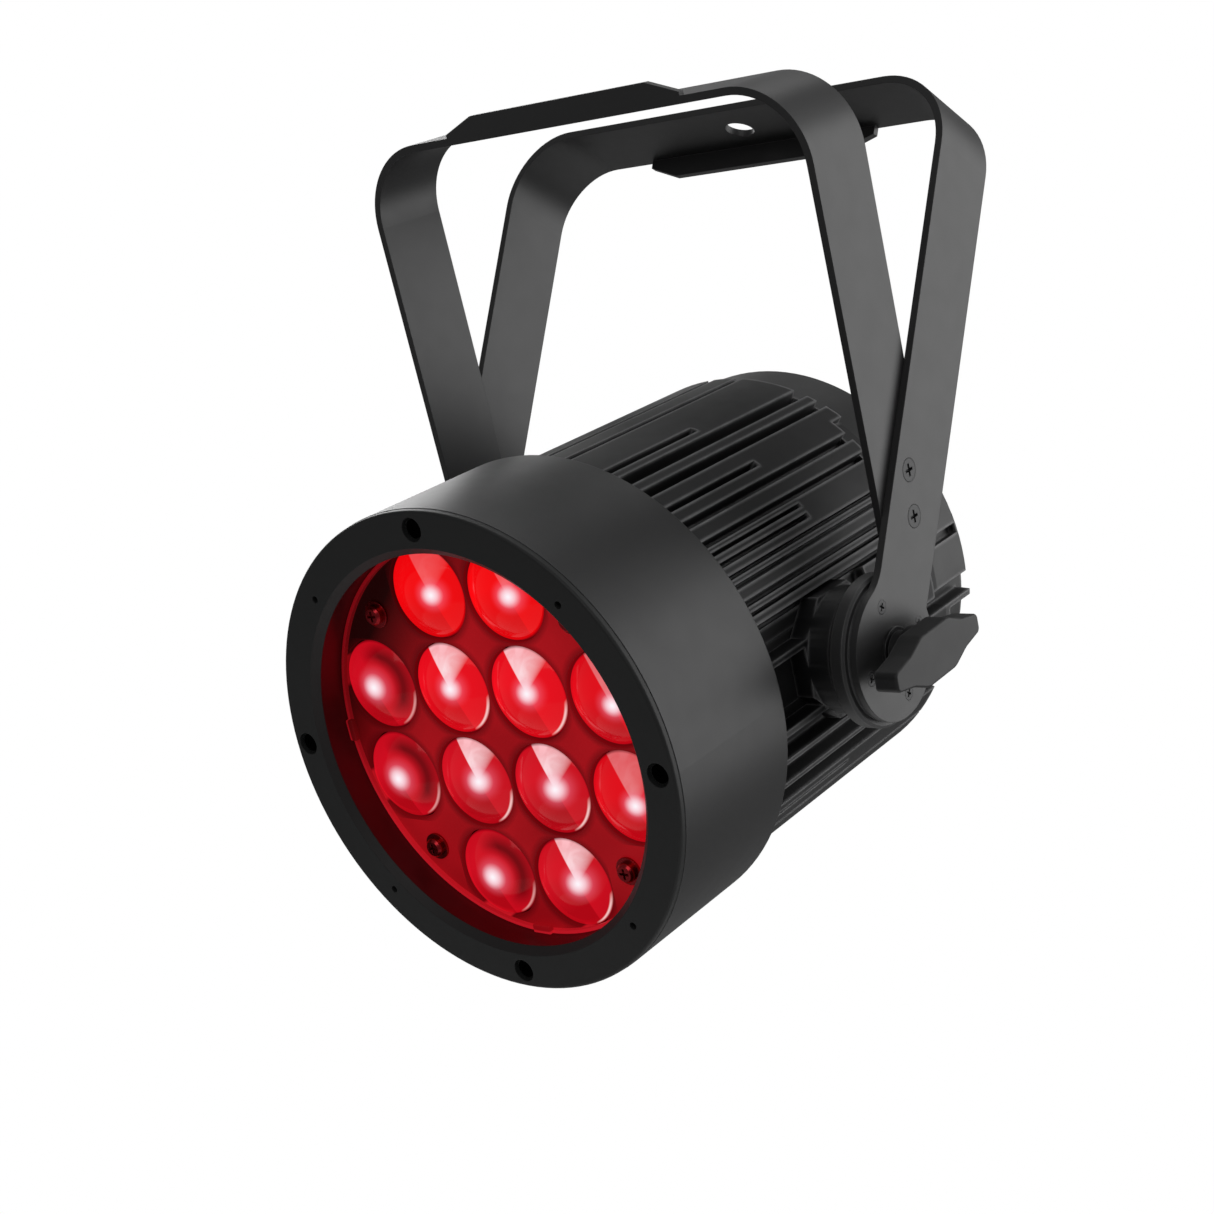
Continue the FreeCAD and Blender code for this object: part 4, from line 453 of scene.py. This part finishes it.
def lens_material(look):
    """A lit lens with painted light and shade in its glow: a painted hot spot, a red body split by a leaning plane
    into painted shade and a pale painted facet highlight, a painted dark crescent, a painted rim glint and a
    painted dark rim.
    """
    material, tree, shader = new_material(f"Lit lens {look}")
    values = LENS_LOOKS[look]
    coordinates = tree.nodes.new("ShaderNodeTexCoord")
    parts = tree.nodes.new("ShaderNodeSeparateXYZ")
    tree.links.new(coordinates.outputs["Object"], parts.inputs["Vector"])
    plain_x = calculated(tree, "DIVIDE", parts.outputs["X"], LENS_RADIUS)
    plain_y = calculated(tree, "DIVIDE", parts.outputs["Y"], LENS_RADIUS)
    rim = length(tree, plain_x, plain_y)
    x = calculated(tree, "SUBTRACT", plain_x, values["hot_spot"][0])
    y = calculated(tree, "SUBTRACT", plain_y, values["hot_spot"][1])
    hot_height = crown_height(LENS_RADIUS * math.hypot(*values["hot_spot"])) / LENS_RADIUS
    plain_z = calculated(tree, "DIVIDE", parts.outputs["Z"], LENS_RADIUS)
    z = calculated(tree, "SUBTRACT", plain_z, hot_height)
    distance = length(tree, x, y)
    split = math.radians(SPLIT_DEGREES)
    along = calculated(tree, "ADD", product(tree, x, math.cos(split)), product(tree, y, math.sin(split)))
    across = calculated(tree, "ADD", product(tree, x, math.sin(split)), product(tree, y, -math.cos(split)))
    across = calculated(tree, "ADD", across, product(tree, z, SPLIT_LEAN))

    # Painted shade: the body is darker on the shaded side of the leaning plane and towards the rim.
    beyond = ranged(tree, across, 0.0, 1.0, -0.012, 0.012)
    left = mixed(tree, ranged(tree, along, 0.0, 1.0, -0.5, 0.35), values["shaded"], values["body"])
    middle = mixed(tree, product(tree, beyond, 0.8), left, values["body"])
    towards_rim = ranged(tree, rim, 0.0, 1.0, 0.55, 1.0)
    body = mixed(tree, product(tree, towards_rim, 0.35), middle, values["shaded"])
    turn = calculated(tree, "DIVIDE", across, calculated(tree, "MAXIMUM", along, 0.001))
    # A pale painted highlight, the facet, beside the plane's edge.
    pale = mixed(tree, ranged(tree, along, 0.0, 1.0, 0.15, 0.8), (1.0, 0.90, 0.93), (1.0, 0.52, 0.56))
    facet_highlight = product(
        tree, beyond, ranged(tree, turn, 1.0, 0.0, 0.4, 2.6), ranged(tree, along, 0.0, 1.0, 0.0, 0.06),
        ranged(tree, noise(tree, 7.0, 2.0, 1.5), 0.75, 1.0), values["facet_highlight"],
    )
    body = mixed(tree, facet_highlight, body, pale)
    # A painted dark crescent of shade.
    ring = product(
        tree, ranged(tree, distance, 0.0, 1.0, 0.44, 0.62), ranged(tree, distance, 1.0, 0.0, 0.66, 0.90),
        ranged(tree, across, 0.0, 1.0, 0.05, 0.60), values["crescent"],
    )
    body = mixed(tree, ring, body, (0.14, 0.001, 0.003))
    # A painted glint along the rim at the lower right.
    lower_right = calculated(tree, "SUBTRACT", plain_x, product(tree, plain_y, 0.75))
    glint = product(
        tree, ranged(tree, rim, 0.0, 1.0, 0.925, 0.945), ranged(tree, rim, 1.0, 0.0, 0.965, 0.985),
        ranged(tree, lower_right, 0.0, 0.85, 1.02, 1.16), values["glint"],
    )
    body = mixed(tree, glint, body, (1.0, 0.66, 0.64))
    # The painted hot spot: a pink halo around a near-white core.
    halo = ranged(tree, distance, 1.0, 0.0, 0.04 * values["hot"], 0.52 * values["hot"])
    body = mixed(tree, product(tree, halo, halo), body, (1.0, 0.24, 0.36))
    core = ranged(tree, distance, 1.0, 0.0, 0.02 * values["hot"], 0.30 * values["hot"])
    body = mixed(tree, product(tree, core, ranged(tree, core, 0.5, 1.0, 0.0, 0.5)), body, (1.0, 0.93, 0.98))
    # A painted dark rim of shade.
    dark_rim = ranged(tree, rim, 0.0, 0.9, 0.955, 1.0)
    body = mixed(tree, dark_rim, body, (0.10, 0.0, 0.003))
    tree.links.new(body, shader.inputs["Emission Color"])
    shader.inputs["Emission Strength"].default_value = 0.97
    shader.inputs["Base Color"].default_value = (0.04, 0.001, 0.002, 1.0)
    shader.inputs["Specular IOR Level"].default_value = 0.16
    tree.links.new(ranged(tree, noise(tree, 10.0), 0.10, 0.16), shader.inputs["Roughness"])
    add_bump(tree, shader, noise(tree, 4.0, 1.0), 0.004)
    return material


# ---------------------------------------------------------------------------------------------
# CAD nodes that keep their shape: a material and softened edges
# ---------------------------------------------------------------------------------------------
SOFTENED_MM = {"pivot_boss_right": 0.6, "pivot_boss_left": 0.6, "safety_eye": 0.4}
slots = {row["node"]: row["material_slot"] for row in frame["record"]["subparts"]}


def soften(node, width_mm):
    """Weld a CAD node's faces together and round its sharp edges a little."""
    weld = node.modifiers.new("Weld", "WELD")
    weld.merge_threshold = 0.002 * MM
    bevel = node.modifiers.new("Bevel", "BEVEL")
    bevel.width = width_mm * MM
    bevel.segments = 2
    bevel.limit_method = "ANGLE"
    bevel.angle_limit = math.radians(40.0)
    bevel.use_clamp_overlap = True
    bevel.harden_normals = True


for name, node in nodes.items():
    slot = slots[name]
    if slot in MATERIALS:
        dress(node, MATERIALS[slot])
    if name in SOFTENED_MM:
        soften(node, SOFTENED_MM[name])


# ---------------------------------------------------------------------------------------------
# Lenses
# ---------------------------------------------------------------------------------------------
GRID_STEPS = (-1.5, -0.5, 0.5, 1.5)
CROWN_RINGS = 28


def lens_centres():
    """Centres of a four by four grid without its corners."""
    return [(x * lens_pitch, y * lens_pitch)
            for x in GRID_STEPS for y in GRID_STEPS if abs(x) + abs(y) < 3]


def lens_look(x, y):
    """The group that a lens belongs to, by its place in the grid."""
    if y > lens_pitch:
        return "top"
    if x < -lens_pitch or (y < -lens_pitch and x < 0):
        return "edge"
    if x > lens_pitch:
        return "side"
    return "upper" if y > 0 else "lower"


def build_lenses():
    """Twelve lit lenses: a short cylindrical edge, a rounded shoulder and a spherical crown."""
    sweep = math.asin(LENS_RADIUS / crown_ball)
    profile = [(0.0, 0.0), (LENS_RADIUS, 0.0), (LENS_RADIUS, LENS_EDGE - 0.3 * MM)]
    for step in range(1, CROWN_RINGS + 1):
        radius = crown_ball * math.sin(sweep * (1 - step / CROWN_RINGS))
        profile.append((radius, crown_height(radius)))
    mesh = lathe_mesh("lens", profile, segments=96)
    materials = {look: lens_material(look) for look in LENS_LOOKS}
    for number, (x, y) in enumerate(lens_centres(), start=1):
        place = HEAD @ Matrix.Translation((x, y, lens_low.z))
        lens = make_object(f"lens_{number:02d}", mesh.copy(), place)
        finish(lens, "zoom_carriage", "lens", materials[lens_look(x, y)], "zoom_lenses")


LUG_SIZE = (3.6 * MM, 9.0 * MM, 2.6 * MM)
LUG_INSET = 2.1 * MM
LUG_RISE = 0.7 * MM
LUG_ROUNDING = 0.6 * MM


def build_plate_lugs(material):
    """Four small lugs on the lens plate's rim, at the top, bottom and both sides."""
    high = local_box("lens_plate")[1]
    shape = bmesh.new()
    for turn in range(4):
        out = Matrix.Translation((high.x - LUG_INSET, 0, high.z + LUG_RISE))
        place = Matrix.Rotation(math.radians(90 * turn), 4, "Z") @ out
        size = Matrix.Diagonal((*LUG_SIZE, 1.0))
        bmesh.ops.create_cube(shape, size=1.0, matrix=HEAD @ place @ size)
    bmesh.ops.bevel(shape, geom=shape.edges[:], offset=LUG_ROUNDING, segments=3, profile=0.5,
                    affect="EDGES")
    mesh = bpy.data.meshes.new("plate_lugs")
    shape.to_mesh(mesh)
    shape.free()
    smooth(mesh)
    lugs = make_object("plate_lugs", mesh, Matrix())
    finish(lugs, "zoom_carriage", slots["lens_plate"], material)


plate_material = lens_plate_material()
for name in ("lens_plate", "lens_tubes"):
    dress(nodes[name], plate_material)
dress(nodes["inner_sleeve"], sleeve_material())
dress(nodes["heatsink_housing"], fin_material())
dress(nodes["bezel_screws"],
      coated("Black screws in shade", (0.001, 0.001, 0.001), 0.6, 0.3, 0.004, specular=0.0))
build_lenses()
build_plate_lugs(plate_material)

# ---------------------------------------------------------------------------------------------
# Floor, light and camera
# ---------------------------------------------------------------------------------------------
FLOOR_DROP = 1.0
FLOOR_RADIUS = 1.3
SURROUND_LIGHT = 0.20

# Name, centre, width, height and power of each soft light. All of them face LIT_MIDDLE.
LIT_MIDDLE = (0.0, -0.08, -0.2)
SOFTBOXES = (
    ("softbox_right_back", (1.5, 1.35, 0.25), 1.9, 2.1, 27.0),
    ("softbox_right_top", (1.3, 0.8, 1.5), 1.2, 1.2, 4.0),
    ("softbox_top", (-0.3, 0.3, 1.6), 1.2, 1.0, 6.0),
    ("softbox_left_back", (-1.4, 0.5, 0.7), 0.7, 1.2, 13.0),
    ("softbox_front", (0.9, -2.0, 0.9), 1.4, 1.2, 8.5),
)

CAMERA_PLACE = (0.50891, -0.69547, -0.18675)
CAMERA_BACKWARDS = (0.6249, -0.7792, 0.0485)
FOCAL_LENGTH_MM = 57.93
SENSOR_MM = 36.0
CAMERA_SHIFT = (-0.0380, 0.0334)


def build_floor():
    """A pale round floor below the hanging lamp."""
    shape = bmesh.new()
    bmesh.ops.create_circle(shape, cap_ends=True, segments=96, radius=FLOOR_RADIUS)
    mesh = bpy.data.meshes.new("floor")
    shape.to_mesh(mesh)
    shape.free()
    floor = make_object("floor", mesh, Matrix.Translation((0, 0, cad_box[0][2] - FLOOR_DROP)))
    material, tree, shader = new_material("Pale floor")
    tree.links.new(
        mixed(tree, noise(tree, 400.0), (0.86, 0.86, 0.86), (0.90, 0.90, 0.90)),
        shader.inputs["Base Color"],
    )
    shader.inputs["Roughness"].default_value = 0.9
    floor.data.materials.append(material)


def build_world():
    """A dim even surround that lights the lamp, and shows as plain white where the camera sees it."""
    world = bpy.data.worlds.new("Studio")
    scene.world = world
    world.use_nodes = True
    tree = world.node_tree
    background = tree.nodes["Background"]
    background.inputs["Color"].default_value = (1.0, 1.0, 1.0, 1.0)
    ray = tree.nodes.new("ShaderNodeLightPath")
    seen = ranged(tree, ray.outputs["Is Camera Ray"], SURROUND_LIGHT, 1.0, 0.0, 1.0)
    tree.links.new(seen, background.inputs["Strength"])


def area_light(name, centre, width, height, power):
    """A rectangular soft light that faces the lamp."""
    light = bpy.data.lights.new(name, "AREA")
    light.shape = "RECTANGLE"
    light.size = width
    light.size_y = height
    light.energy = power
    lamp = bpy.data.objects.new(name, light)
    lamp.location = centre
    direction = Vector(LIT_MIDDLE) - Vector(centre)
    lamp.rotation_mode = "QUATERNION"
    lamp.rotation_quaternion = direction.to_track_quat("-Z", "Y")
    scene.collection.objects.link(lamp)


def build_lights():
    for softbox in SOFTBOXES:
        area_light(*softbox)


def build_camera():
    """The camera stands to the right of the lamp's face, level with the head."""
    backwards = Vector(CAMERA_BACKWARDS).normalized()
    across = Vector((-backwards.y, backwards.x, 0)).normalized()
    camera_up = backwards.cross(across)
    data = bpy.data.cameras.new("camera")
    data.sensor_width = SENSOR_MM
    data.lens = FOCAL_LENGTH_MM
    data.shift_x, data.shift_y = CAMERA_SHIFT
    camera = bpy.data.objects.new("camera", data)
    turn = Matrix((across, camera_up, backwards)).transposed().to_4x4()
    camera.matrix_world = Matrix.Translation(CAMERA_PLACE) @ turn
    scene.collection.objects.link(camera)
    scene.camera = camera


scene.view_settings.view_transform = "Standard"
build_floor()
build_world()
build_lights()
build_camera()
